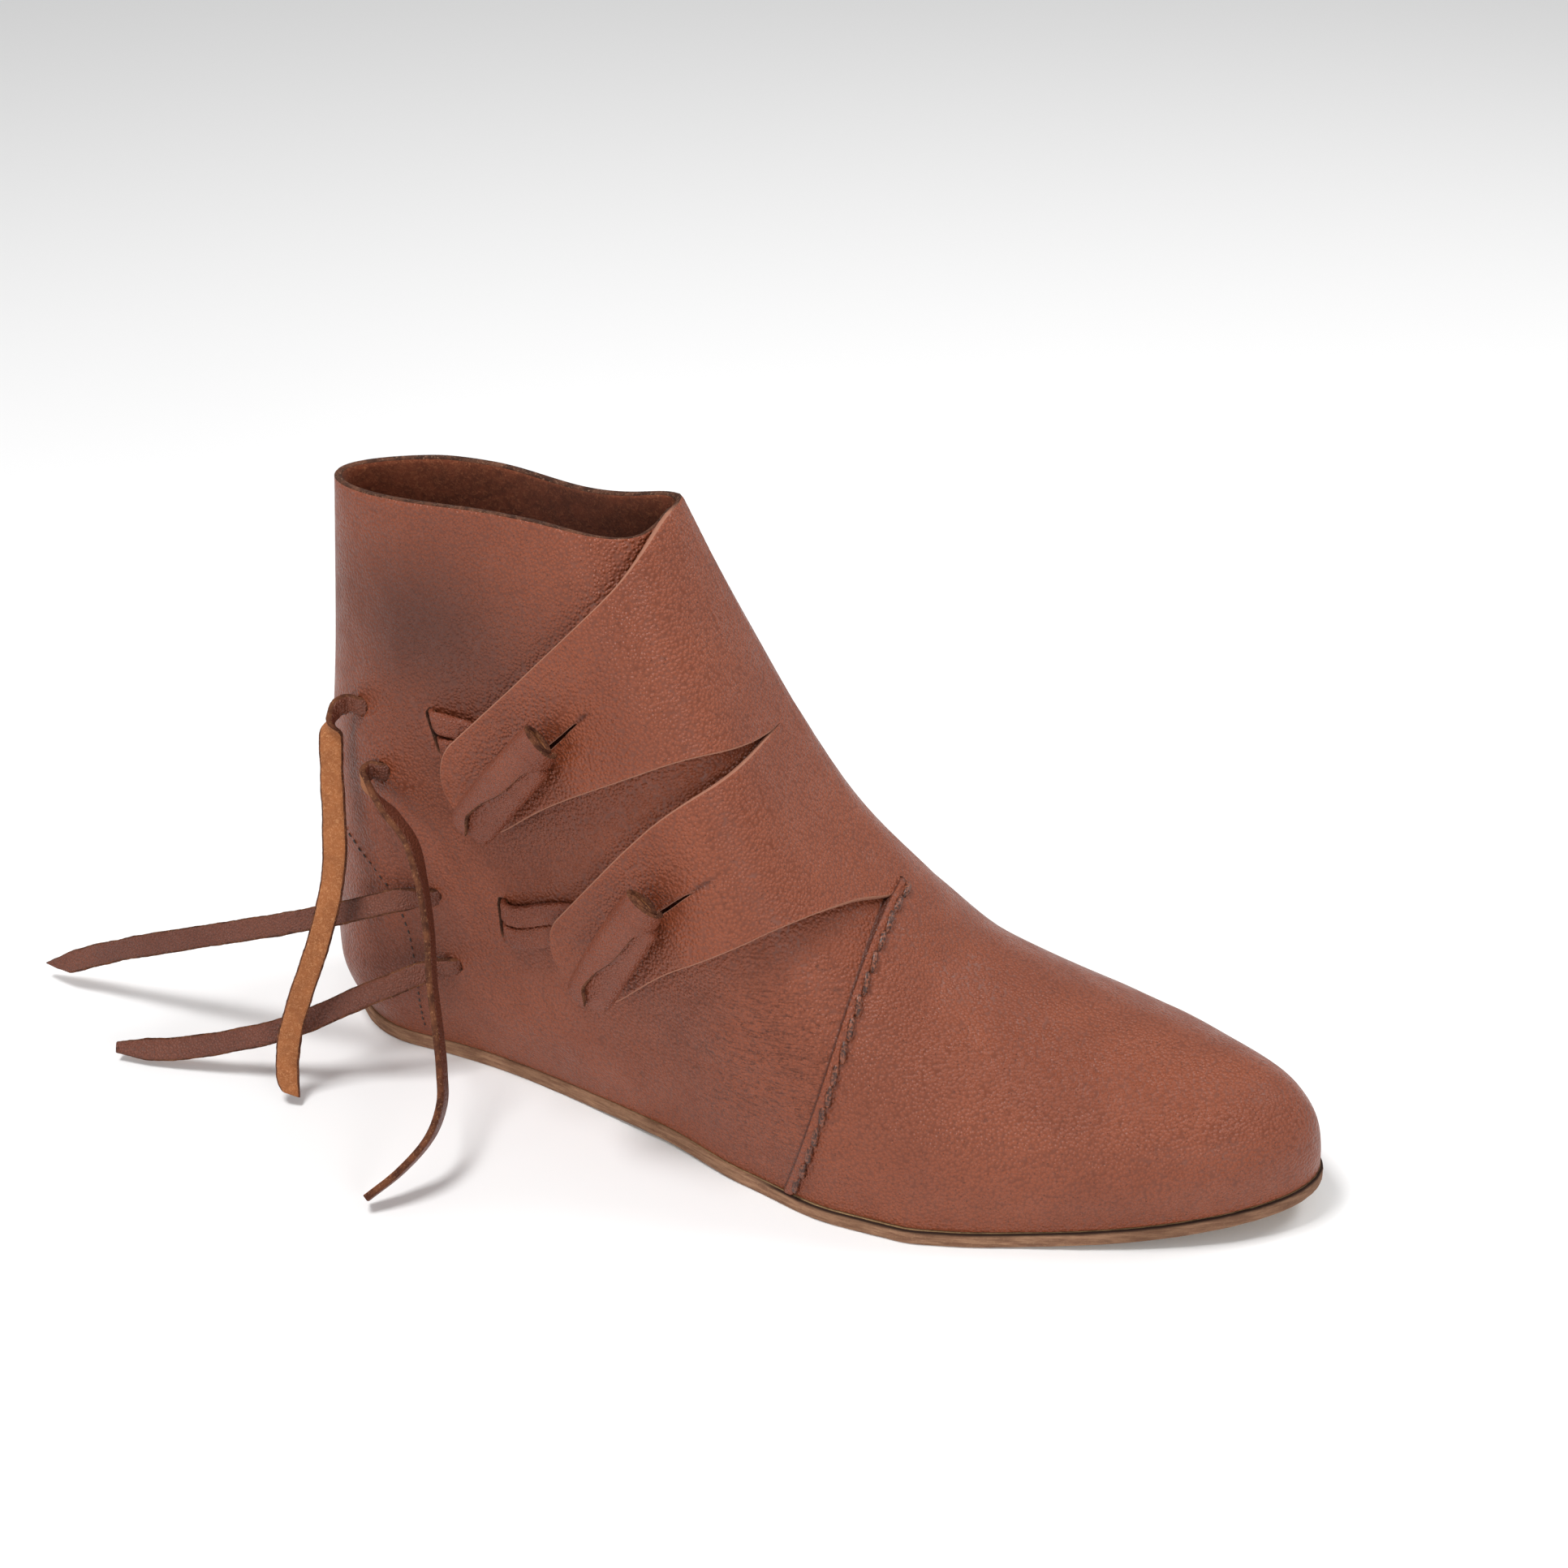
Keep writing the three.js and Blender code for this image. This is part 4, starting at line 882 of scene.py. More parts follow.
UPRIGHT, OUTWARD = (0, 0, 1), (0, -1, 0)
CROSSWISE = (0.924, 0.383, 0)
LEANING = (-0.197, 0.474, 0.858)
TAIL_LEAVE = [(1.5, -2.6), (1.1, -1.2), (-0.1, 0.5), (-2.7, 1.7)]
TAIL_HOLE_WIDTH = 5.0
TAILS = [
    {
        "name": "upper_back", "toggle": 0, "hole": 0, "tip": 4.2, "cut": 2.5,
        "widths": [UPRIGHT, OUTWARD] + [CROSSWISE] * 11,
        "route": [
            (17.2, -23.4, 106), (15.8, -25.2, 103.4), (15.7, -26.6, 98.5), (16.2, -28.6, 92),
            (17.2, -31, 85), (19, -34.5, 77), (20.5, -38.7, 67), (20.1, -44, 55),
            (17.3, -49, 41.5), (13.5, -53.5, 27.5), (11.3, -57, 15.5), (11.9, -59.6, 8),
            (14.2, -62, 2.2),
        ],
    },
    {
        "name": "upper_front", "toggle": 0, "hole": 1, "tip": 4.2, "cut": -3.0,
        "widths": [UPRIGHT, (0.1, -0.5, 0.8), (-0.2, -0.86, 0.45), (-0.1, -0.86, 0.48), (0.1, -0.84, 0.52)]
        + [(0.2, -0.82, 0.52)] * 8,
        "route": [
            (26.4, -29.4, 89.4), (29.8, -31.6, 87), (36, -34, 83.5), (43.5, -37, 78),
            (49, -42, 68.5), (53, -47, 57), (55.6, -52, 45.5), (59.5, -57.5, 34.8),
            (63.5, -63.8, 26.8), (66.4, -70, 21), (66.5, -77.8, 15.6), (62, -86, 9.4),
            (55.4, -93.2, 3.8),
        ],
    },
    {
        "name": "lower_back", "toggle": 1, "hole": 0, "tip": 3.2, "cut": 6.0,
        "widths": [LEANING] * 12,
        "route": [
            (35.8, -33.2, 55), (28, -34.8, 52.2), (18.6, -35.7, 48.1), (7, -36.3, 43.4),
            (-5, -36.6, 38.5), (-17.5, -36.7, 33.5), (-30, -36.7, 28.5), (-43, -36.7, 23.3),
            (-56, -36.6, 17.8), (-66, -36.4, 13), (-75.5, -36.2, 8.2), (-84.4, -36, 3.9),
        ],
    },
    {
        "name": "lower_front", "toggle": 1, "hole": 1, "tip": 3.2, "cut": -5.0,
        "widths": [LEANING] * 12,
        "route": [
            (42, -35.4, 34), (36.5, -39, 31.8), (30.3, -42, 28.9), (24, -44.6, 25.6),
            (17.5, -47.1, 21.9), (11, -49.4, 18.4), (3, -51.7, 14.9), (-5.3, -53.9, 11.8),
            (-15, -56.2, 8.7), (-24.6, -58.2, 6.1), (-34, -60, 4.5), (-42.8, -61.5, 3.9),
        ],
    },
]
TAIL_MATERIALS = [tail_grain, thong_suede, thong_edge]
ROLL_MATERIALS = [thong_grain, thong_suede, thong_edge]


def face_row(x, z, off, width, lean):
    point, forward, upward, _ = on_face(x, z, off)
    return point, upward * math.sin(lean) + forward * math.cos(lean), width


def set_attribute(thing, name, values):
    attribute = thing.data.attributes.new(name, "FLOAT", "POINT")
    attribute.data.foreach_set("value", np.asarray(values, np.float32))


def add_tail(tail, seed):
    """A free tail: out of its hole, then along its fall to the floor."""
    x, z = TOGGLES[tail["toggle"]]["holes"][tail["hole"]]
    straight = math.pi / 2
    rows = [face_row(x + ahead, z, off, TAIL_HOLE_WIDTH, straight) for ahead, off in TAIL_LEAVE]
    last = len(tail["route"]) - 1
    for i, (point, across) in enumerate(zip(tail["route"], tail["widths"])):
        rows.append((point, across, tail["tip"] if i == last else THONG_WIDTH))
    points, faces, indices, centre, length = thong_mesh(rows, TAIL_STEP, tail["cut"], seed=seed)
    thing = new_object("tail_" + tail["name"] + "_thong", points, faces, TAIL_MATERIALS, indices)
    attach(thing, "root")
    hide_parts("tail_" + tail["name"])
    return thing


for number, tail in enumerate(TAILS):
    add_tail(tail, seed=11 + number)


# Toggles: the strands and the rolled barrel

STRAND_ROUTE = [
    ("centre", 0, BARREL_OFF, GATHERED_WIDTH),
    ("centre", 0, FLAP_FACE - LEATHER / 2, GATHERED_WIDTH),
    ("centre", -0.3 * THONG_THICKNESS, 2 * OVER_QUARTER, GATHERED_WIDTH),
    ("centre", -1.6 * THONG_THICKNESS, OVER_QUARTER + CLEARANCE / 4, GATHERED_WIDTH),
    ("middle", 0, OVER_QUARTER, THONG_WIDTH),
    ("slot", 6.5, OVER_QUARTER + 0.35, THONG_WIDTH),
    ("slot", 3.4, OVER_QUARTER + 0.15, THONG_WIDTH - 0.3),
    ("slot", 1.9, 0.2, THONG_WIDTH - 0.5),
    ("slot", 1.5, -1.5, THONG_WIDTH - 0.6),
    ("slot", 0.2, -3.1, THONG_WIDTH),
    ("slot", -3.5, INSIDE_WALL, THONG_WIDTH),
    ("inside", 0, INSIDE_WALL, THONG_WIDTH),
    ("hole", 5.0, INSIDE_WALL, TAIL_HOLE_WIDTH),
    ("hole", 2.4, INSIDE_WALL + 0.5, TAIL_HOLE_WIDTH),
    ("hole", 1.5, -2.7, TAIL_HOLE_WIDTH),
]


def strand_rows(toggle, number):
    hand = 1 if number == 0 else -1
    gathered = hand * (GATHERED_WIDTH + CLEARANCE) / 2
    spread = hand * (THONG_WIDTH + CLEARANCE) / 2
    centre, slot, hole = toggle["centre"], toggle["slot"].copy(), toggle["holes"][number]
    straight = math.pi / 2
    slot_turn = math.radians(toggle["slot_lean"])
    slot[0] += spread / math.tan(slot_turn)
    landmarks = {
        "centre": (centre, gathered, straight),
        "middle": (mix(centre, slot, 0.55), spread, straight),
        "slot": (slot, spread, slot_turn),
        "inside": (mix(slot, hole, 0.5), spread / 2, straight),
        "hole": (hole, 0, straight),
    }
    rows = []
    for name, ahead, off, width in STRAND_ROUTE:
        (x, z), rise, lean = landmarks[name]
        rows.append(face_row(x + ahead, z + rise, off, width, lean))
    return rows


ROLL_STEP = 1.6
FREE_EDGE = table(
    "at angle",
    (0.00, 1.10),
    (0.06, 1.30),
    (0.16, 1.62),
    (0.32, 1.50),
    (0.52, 1.15),
    (0.70, 1.02),
    (0.79, 0.95),
    (0.86, 0.60),
    (0.91, -0.15),
    (1.00, -0.60),
)
ROLL_TURNS = 2.2
END_SLANT = 2.4
LOBE_RISE, LOBE_ANGLE, LOBE_SPREAD = 2.6, 0.05, 0.62
OVAL = 1.08
ROLL_LEATHER = 1.35
ROLL_GRID = (150, 64)
END_SOFTENED, END_SHARE = 0.3, 0.8
ROLL_WAVE = 0.12


def barrel_sheet(toggle, draws):
    """A strip rolled up along a spiral, its free edge swinging round in an S along the barrel."""
    centre = toggle["centre"]
    point, forward, _, normal = on_face(*centre, BARREL_OFF)
    upward = -np.cross(normal, forward)
    if upward[2] < 0:
        upward = -upward
    turn = math.radians(toggle["lean"])
    axis = forward * math.cos(turn) + upward * math.sin(turn)
    side = unit(np.cross(axis, normal))
    rows, columns = ROLL_GRID
    share, t = np.meshgrid(np.linspace(0, 1, rows), np.linspace(0, 1, columns), indexing="ij")
    end_angle = along(FREE_EDGE, "at", "angle", t)
    angle = end_angle + share * 2 * math.pi * ROLL_TURNS
    inner_turns = (angle - end_angle) / (2 * math.pi)
    radius = TOGGLE_RADIUS - ROLL_STEP * inner_turns
    ends = np.abs(t - 0.5) * 2
    radius = radius - END_SOFTENED * smooth((ends - END_SHARE) / (1 - END_SHARE)) * (1 - share)
    lag = np.clip(inner_turns - 1, 0, None) * draws.uniform(0.5, 0.9)
    slant = END_SLANT * np.sin(angle) * smooth((2 * t - 1.3) / 0.7)
    length = (t - 0.5) * (TOGGLE_LENGTH - 2 * lag) + slant * np.sign(t - 0.5)
    wave = ROLL_WAVE * np.sin(t * 9 + angle * 1.3) * smooth(1 - share)
    lobe = LOBE_RISE * bell(angle - 2 * math.pi - LOBE_ANGLE, LOBE_SPREAD) * smooth((end_angle + 0.2) / 0.9)
    radius = radius + wave + lobe
    spot = point + axis * length[..., None]
    spot = spot + side * (radius * np.cos(angle) * OVAL)[..., None]
    spot = spot + normal * (radius * np.sin(angle))[..., None]
    index = np.arange(rows * columns).reshape(rows, columns)
    return spot.reshape(-1, 3), grid_faces(index)


def add_toggle(toggle, seed):
    draws = np.random.default_rng(seed)
    parts = []
    for number in (0, 1):
        points, faces, indices, _, _ = thong_mesh(
            strand_rows(toggle, number), STRAND_STEP, crease_pitch=STRAND_CREASES, seed=seed + number
        )
        parts.append((points, faces, [GRAIN if index == RAW else index for index in indices]))
    points, faces = barrel_sheet(toggle, draws)
    middle = points.mean(0)
    normals = vertex_normals(points, faces)
    if ((points - middle) * normals).sum() < 0:
        faces = faces[:, ::-1]
    points, faces, indices, _ = thick_sheet(points, faces, ROLL_LEATHER, 0.25)
    parts.append((points, faces, indices))
    thing = joined("toggle_" + toggle["name"] + "_roll", parts, ROLL_MATERIALS, math.radians(50))
    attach(thing, "root")
    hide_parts("toggle_" + toggle["name"])
    return thing


for number, toggle in enumerate(TOGGLES):
    add_toggle(toggle, seed=31 + number)


# The upper's sheets

# What shows of the slots, holes and slits: the thongs fill them, so their edges lie close around them
SLOT_SEEN, SLOT_SEEN_AHEAD = 4.2, 1.5
SLOT_SEEN_LONG = 2 * THONG_WIDTH + 1.4
HOLE_SEEN = 2.75
SLIT_START, SLIT_END = 1.1, 0.36
SLIT_CUT_SHARE = 0.86

TUCK_START, TUCK_LENGTH = 6.0, 34.0
RISE_START, RISE_LENGTH = 12.0, 26.0
OPENING_NEAR = 5.5


def tuck(away):
    return (LEATHER + SEAT) * (1 - smooth((away - TUCK_START) / TUCK_LENGTH))


def capsule(x, z, start, end, radius):
    """Distance outside a round-ended bar in the side view, negative inside."""
    start, end = np.asarray(start, float), np.asarray(end, float)
    run = end - start
    share = ((x - start[0]) * run[0] + (z - start[1]) * run[1]) / max(run @ run, 1e-9)
    share = np.clip(share, 0, 1)
    return np.hypot(x - start[0] - share * run[0], z - start[1] - share * run[1]) - radius


def tapered(x, z, start, end):
    """Distance outside a slit that narrows from its start to its end."""
    run = end - start
    share = np.clip(((x - start[0]) * run[0] + (z - start[1]) * run[1]) / (run @ run), 0, 1)
    return capsule(x, z, start, end, 0) - mix(SLIT_START, SLIT_END, share)


def bar(x, z, centre, long, wide, turn):
    reach = (long - wide) / 2 * np.array([math.cos(turn), math.sin(turn)])
    return capsule(x, z, centre - reach, centre + reach, wide / 2)


LEAST_CUT, NOT_CUT = 0.05, 99.0


def clipped(points, faces, keep):
    """The part of a sheet where a value is positive, its crossed edges cut where the value is zero."""
    keep = np.where(np.abs(keep) < LEAST_CUT, LEAST_CUT, keep)
    sign = keep[faces] > 0
    whole = faces[sign.all(1)]
    mixed = faces[sign.any(1) & ~sign.all(1)]
    new_points, cut, made = [], {}, []
    for face in mixed:
        corners = [int(v) for i, v in enumerate(face) if v != face[i - 1]]
        outline = []
        for i, v in enumerate(corners):
            w = corners[(i + 1) % len(corners)]
            if keep[v] > 0:
                outline.append(v)
            if (keep[v] > 0) != (keep[w] > 0):
                key = (min(v, w), max(v, w))
                if key not in cut:
                    share = keep[key[0]] / (keep[key[0]] - keep[key[1]])
                    cut[key] = len(points) + len(new_points)
                    new_points.append(mix(points[key[0]], points[key[1]], share))
                outline.append(cut[key])
        for i in range(1, len(outline) - 1):
            made.append([outline[0], outline[i], outline[i + 1], outline[i + 1]])
    everything = np.concatenate([points, np.array(new_points).reshape(-1, 3)])
    faces = np.concatenate([whole, np.array(made, int).reshape(-1, 4)])
    parents = np.array(list(cut), int).reshape(-1, 2)
    return everything, faces, parents


def compacted(points, faces, extra):
    """A sheet without the points that no face uses."""
    used = np.unique(faces)
    number = np.full(len(points), -1)
    number[used] = np.arange(len(used))
    return points[used], number[faces], {name: values[used] for name, values in extra.items()}


def with_parents(values, parents):
    return np.concatenate([values, values[parents].mean(1)])


RING_STEPS = (75, 81, 90)
SEAM_RINGS = [0.0, 0.05, 0.12, 0.2, 0.35, 0.5, 0.65, 0.8, 0.88, 0.95]
SIDE_COLUMNS = 64
FLAP_RING = 99.0
STEEPEST = 12.0
CREST_WIDTH, CREST_ROUNDS = 5.0, 6
SCORE_DEPTH, SCORE_WIDTH = 0.35, 0.55
PULL_DEPTH, PULL_WIDTH, PULL_SHARE = 0.7, 3.2, 0.6
instep_rings = np.linspace(SEAM_RING + 1, HEEL_RING, 400)
NOTCH_RING = float(np.interp(NOTCH_SHARE, along(SECTIONS, "ring", "ridge", instep_rings), instep_rings))


def upper_rings():
    before = np.linspace(0, SEAM_RING, RING_STEPS[0], endpoint=False)
    instep = np.linspace(SEAM_RING + 1, HEEL_RING, RING_STEPS[1], endpoint=False)
    instep[np.argmin(np.abs(instep - NOTCH_RING))] = NOTCH_RING
    shaft = np.linspace(HEEL_RING, LAST_RING, RING_STEPS[2])
    return np.concatenate([before, SEAM_RING + np.array(SEAM_RINGS), instep, shaft])


def spline(points, steps):
    """A curve through points of the side view, as the flaps' long edges have it."""
    points = np.asarray(points, float)
    made = []
    for i in range(len(points) - 1):
        p0, p1 = points[max(i - 1, 0)], points[i]
        p2, p3 = points[i + 1], points[min(i + 2, len(points) - 1)]
        t = np.linspace(0, 1, steps, endpoint=i == len(points) - 2)[:, None]
        v0, v1 = (p2 - p0) / 2, (p3 - p1) / 2
        cubic, square = 2 * p1 - 2 * p2 + v0 + v1, 3 * p2 - 3 * p1 - 2 * v0 - v1
        made.append(cubic * t**3 + square * t**2 + v0 * t + p1)
    return np.concatenate(made)


END_ROWS = 16
EDGE_ROWS = 56


def flap_edges(flap):
    """The two edges of a flap from the ridge to the tip, row by row."""
    centre = flap["end"]

    def touch(p, hand):
        reach = np.hypot(*(p - centre))
        return math.atan2(p[1] - centre[1], p[0] - centre[0]) + hand * math.acos(FLAP_END_RADIUS / reach)

    start = touch(flap["top"][-1], 1)
    sweep = (touch(flap["bottom"][0], -1) - start) % (2 * math.pi)
    half = sweep / 2
    across = 1 - (1 - np.linspace(0, 1, END_ROWS)) ** 1.7
    swing = np.arccos(np.clip(mix(math.cos(half), 1, across), -1, 1))
    tip = start + half
    edges = []
    for hand, points, share in ((-1, flap["top"], 0), (1, flap["bottom"], 1)):
        turn = tip + hand * swing
        arc = centre + FLAP_END_RADIUS * np.stack([np.cos(turn), np.sin(turn)], 1)
        ridge = np.array(ridge_point(flap["ridge"][share]))
        outer = points if share == 0 else points[::-1]
        line = spline([ridge, *outer, arc[0]], 40)
        run = run_along(line)
        line = evenly(np.linspace(0, run[-1], EDGE_ROWS), run, line)
        edges.append(np.concatenate([line, arc[1:]]))
    return edges


def flap_sheet(flap, ridge_shares):
    """A flap's places in the side view: rows along the ridge from the toe side, columns to the ridge."""
    top, bottom = flap_edges(flap)
    low, high = flap["ridge"][1], flap["ridge"][0]
    t = ((ridge_shares - low) / (high - low))[:, None, None]
    s = np.linspace(0, 1, len(top))[None, :, None]
    plane = mix(bottom[None], top[None], t)
    ridge = np.stack(ridge_point(ridge_shares), 1)[:, None, :]
    pull = ridge - mix(bottom[0], top[0], t)
    plane = plane + (1 - s) ** 3 * pull
    return plane[:, ::-1]


def lateral_gradient(x, z):
    step = 0.05
    half = body_half(LATERAL, x, z)
    by_x = (body_half(LATERAL, x + step, z) - body_half(LATERAL, x - step, z)) / (2 * step)
    by_z = (body_half(LATERAL, x, z + step) - body_half(LATERAL, x, z - step)) / (2 * step)
    by_x, by_z = np.clip(by_x, -STEEPEST, STEEPEST), np.clip(by_z, -STEEPEST, STEEPEST)
    return half, unit(np.stack([-by_x, -np.ones_like(half), -by_z], -1))


# The creases that the shoe's bends have pressed in: a side, two ends as shares of length and collar
# height, the width and depth of the trough in millimetres, and how far its middle bows upward.
CREASES = [
    (LATERAL, (0.150, 0.740), (0.158, 0.960), 4.0, 0.45, 0.6),
    (LATERAL, (0.196, 0.700), (0.205, 0.930), 3.4, 0.35, -0.6),
    (LATERAL, (0.060, 0.480), (0.120, 0.500), 3.2, 0.25, 1.0),
    (LATERAL, (0.030, 0.410), (0.110, 0.390), 3.0, 0.20, -1.2),
    (LATERAL, (0.470, 0.300), (0.520, 0.325), 2.2, 0.22, 1.0),
    (LATERAL, (0.450, 0.220), (0.530, 0.235), 2.2, 0.22, -1.0),
    (MEDIAL, (0.100, 0.560), (0.108, 0.860), 3.4, 0.55, 1.0),
    (MEDIAL, (0.165, 0.520), (0.150, 0.830), 3.0, 0.45, -1.5),
    (MEDIAL, (0.225, 0.500), (0.240, 0.800), 3.2, 0.40, 1.0),
    (MEDIAL, (0.300, 0.430), (0.350, 0.620), 3.4, 0.40, 1.5),
    (MEDIAL, (0.600, 0.140), (0.640, 0.250), 2.6, 0.40, 1.5),
    (MEDIAL, (0.640, 0.130), (0.680, 0.220), 2.4, 0.40, 1.0),
    (MEDIAL, (0.680, 0.110), (0.715, 0.190), 2.4, 0.30, 0.8),
]
CREASE_ENDS = 0.22
CREASE_LIP, CREASE_LIP_OUT = 0.45, 1.9
# The patch of fine wrinkles behind the seam: its centre in the side view and its reach each way
WRINKLED = (148, 38, 20, 24)


def crease_depth(side, x, z):
    depth = np.zeros_like(x)
    for crease_side, start, end, width, deep, bow in CREASES:
        (ax, az), (bx, bz) = (np.array(share) * [SHOE_LENGTH, COLLAR_HEIGHT] for share in (start, end))
        run = math.hypot(bx - ax, bz - az)
        ux, uz = (bx - ax) / run, (bz - az) / run
        t = ((x - ax) * ux + (z - az) * uz) / run
        off = -(x - ax) * uz + (z - az) * ux - bow * (1 - (2 * t - 1) ** 2)
        inside = smooth((t + CREASE_ENDS) / CREASE_ENDS) * smooth((1 + CREASE_ENDS - t) / CREASE_ENDS)
        trough = bell(off, width) - CREASE_LIP * bell(np.abs(off) - CREASE_LIP_OUT * width, width)
        depth += np.where(side == crease_side, deep * inside * trough, 0)
    return depth


def ridge_smoothed(points, faces, weight, rounds):
    """Points drawn towards the mean of their neighbours, by each point's weight."""
    pairs = np.concatenate([faces[:, [0, 1]], faces[:, [1, 2]], faces[:, [2, 3]], faces[:, [3, 0]]])
    pairs = pairs[pairs[:, 0] != pairs[:, 1]]
    pairs = np.unique(np.sort(pairs, 1), axis=0)
    both = np.concatenate([pairs, pairs[:, ::-1]])
    count = np.bincount(both[:, 0], minlength=len(points)).clip(1)[:, None]
    for _ in range(rounds):
        total = np.stack([
            np.bincount(both[:, 0], points[both[:, 1], k], len(points)) for k in range(3)
        ], 1)
        points = mix(points, total / count, weight[:, None] * 0.5)
    return points


# The patches of painted shade on the outer side: centre in the side view, reach each way and depth of the
# painted shade
PAINTED_SHADE_PATCHES = [(44, 134, 34, 24, 0.8), (60, 94, 26, 18, 0.35), (42, 34, 14, 22, 0.5)]


def patch(x, z, middle_x, middle_z, reach_x, reach_z):
    """One at a place in the side view, fading to nothing over its reach each way."""
    return bell(x - middle_x, reach_x) * bell(z - middle_z, reach_z)


def upper_sheet():
    """The whole outer face of the upper, and by name the values that its materials read at each point."""
    rings = upper_rings()
    columns = SIDE_COLUMNS
    lateral = np.stack([even_line(LATERAL, ring, columns + 1) for ring in rings])
    medial = np.stack([even_line(MEDIAL, ring, columns + 1) for ring in rings])
    grid = np.concatenate([lateral, medial[:, :-1][:, ::-1]], 1)
    wide = grid.shape[1]
    side = np.tile(np.where(np.arange(wide) < columns, LATERAL, MEDIAL), (len(rings), 1))
    ring = np.repeat(rings[:, None], wide, 1)
    points = grid.reshape(-1, 3)
    index = np.arange(len(points)).reshape(len(rings), wide)
    on_back = rings > HEEL_RING - 1e-9
    index[on_back, -1] = index[on_back, 0]
    faces = grid_faces(index)
    row, column = np.divmod(np.arange(len(faces)), wide - 1)
    faces = faces[(column != columns - 1) | (rings[row] < SEAM_RING + 1 - 1e-9)]
    side, ring = side.ravel(), ring.ravel()
    away = ridge_distance(points)
    normals = vertex_normals(points, faces)
    behind = (side == LATERAL) & (ring >= SEAM_RING + 1)
    in_strip = (side == LATERAL) & (ring > SEAM_RING) & (ring < SEAM_RING + 1)
    strip = np.clip((ring - SEAM_RING) * (SEAM_RING + 1 - ring) * 6.5, 0, 1)
    offset = np.where(behind, -tuck(away) * smooth(away / TUCK_START), 0)
    offset = np.where(in_strip, SEAM_RAISE * np.sqrt(strip) * smooth(away / TUCK_START), offset)
    crease = crease_depth(side, points[:, 0], points[:, 2])
    points = points + normals * (offset - crease)[:, None]
    x, z = points[:, 0], points[:, 2]
    keep = np.where(behind & (ring > SEAM_RING + 1), away - OPENING_NEAR, NOT_CUT)
    for toggle in TOGGLES:
        middle = toggle["slot"] + [SLOT_SEEN_AHEAD, 0]
        slot = bar(x, z, middle, SLOT_SEEN_LONG, SLOT_SEEN, math.radians(toggle["slot_lean"]))
        keep = np.where(side == LATERAL, np.minimum(keep, slot), keep)
        for hole in toggle["holes"]:
            found = np.hypot(x - hole[0], z - hole[1]) - HOLE_SEEN
            keep = np.where(side == LATERAL, np.minimum(keep, found), keep)
    ridge_column = index[:, columns]
    # Painted shade along the two edges of the seam strip, where it steps up from the vamp and down to the
    # tucked quarter
    front_edge = (ring > SEAM_RING - 0.02) & (ring < SEAM_RING + 0.09)
    seam_edges = front_edge | (np.abs(ring - SEAM_RING - 0.97) < 0.05)
    wrinkled = patch(x, z, *WRINKLED)
    # Painted shade in soft patches on the outer side
    painted_shade = sum(depth * patch(x, z, *place_and_reach) for *place_and_reach, depth in PAINTED_SHADE_PATCHES)
    lots = {
        "painted_shade": np.where(side == LATERAL, painted_shade, 0.0),
        "painted_groove_shade": np.where((side == LATERAL) & seam_edges, 1.0, 0.0),
        "wrinkle": np.where((side == LATERAL) & (ring > SEAM_RING + 1), wrinkled, 0.0),
        "away": away,
        "flap": np.zeros(len(points)),
    }
    for flap, toggle in zip(FLAPS, TOGGLES):
        first = SEAM_RING if flap["ridge"][1] == THROAT_SHARE else NOTCH_RING
        last = NOTCH_RING if first == SEAM_RING else LAST_RING
        chosen = (rings >= first - 1e-9) & (rings <= last + 1e-9)
        shares = np.where(
            rings[chosen] <= HEEL_RING,
            along(SECTIONS, "ring", "ridge", rings[chosen]),
            along(SHAFT_SECTIONS, "ring", "ridge", rings[chosen]),
        )
        plane = flap_sheet(flap, shares)
        fx, fz = plane[..., 0].ravel(), plane[..., 1].ravel()
        half, outward = lateral_gradient(fx, fz)
        spots = np.stack([fx, -half, fz], 1)
        flap_away = ridge_distance(spots)
        lift = LEATHER + SEAT - tuck(flap_away)
        lift = lift + (FLAP_RISE + CLEARANCE) * smooth((flap_away - RISE_START) / RISE_LENGTH)
        spots = spots + outward * lift[:, None]
        start = len(points)
        flap_index = np.arange(len(spots)).reshape(plane.shape[:2]) + start
        flap_index[:, -1] = ridge_column[chosen]
        flap_index[:, 0] = flap_index[0, 0]
        turn = math.radians(toggle["slit_lean"])
        reach = SLIT_LENGTH * np.array([math.cos(turn), math.sin(turn)])
        slit = tapered(fx, fz, toggle["centre"], toggle["centre"] + reach * SLIT_CUT_SHARE)
        eye = bar(fx, fz, toggle["centre"], EYE_LONG, EYE_WIDE, math.pi / 2)
        scored = capsule(fx, fz, toggle["centre"], toggle["centre"] + reach, 0)
        pulled = capsule(fx, fz, toggle["centre"], toggle["centre"] + reach * PULL_SHARE, 0)
        # The scored slit line: pressed in, and darkened with painted shade
        score = bell(scored, SCORE_WIDTH)
        spots = spots - outward * (SCORE_DEPTH * score + PULL_DEPTH * bell(pulled, PULL_WIDTH))[:, None]
        points = np.concatenate([points, spots])
        faces = np.concatenate([faces, grid_faces(flap_index)])
        keep = np.concatenate([keep, np.minimum(slit, eye)])
        side = np.concatenate([side, np.full(len(spots), LATERAL)])
        ring = np.concatenate([ring, np.full(len(spots), FLAP_RING)])
        none = np.zeros(len(spots))
        added = {"painted_groove_shade": score, "wrinkle": none, "away": flap_away, "flap": none + 1, "painted_shade": none}
        lots = {name: np.concatenate([lots[name], added[name]]) for name in lots}
    crest = bell(lots["away"], CREST_WIDTH) * (points[:, 0] < THROAT_REACH + 2)
    crest = np.where((side == LATERAL) & (lots["flap"] == 0) & (ring > SEAM_RING), 0, crest)
    points, faces, parents = clipped(points, faces, keep)
    lots = {name: with_parents(values, parents) for name, values in lots.items()}
    crest = with_parents(crest, parents)
    points = ridge_smoothed(points, faces, crest, CREST_ROUNDS)
    points, faces, lots = compacted(points, faces, lots)
    return points, faces, lots


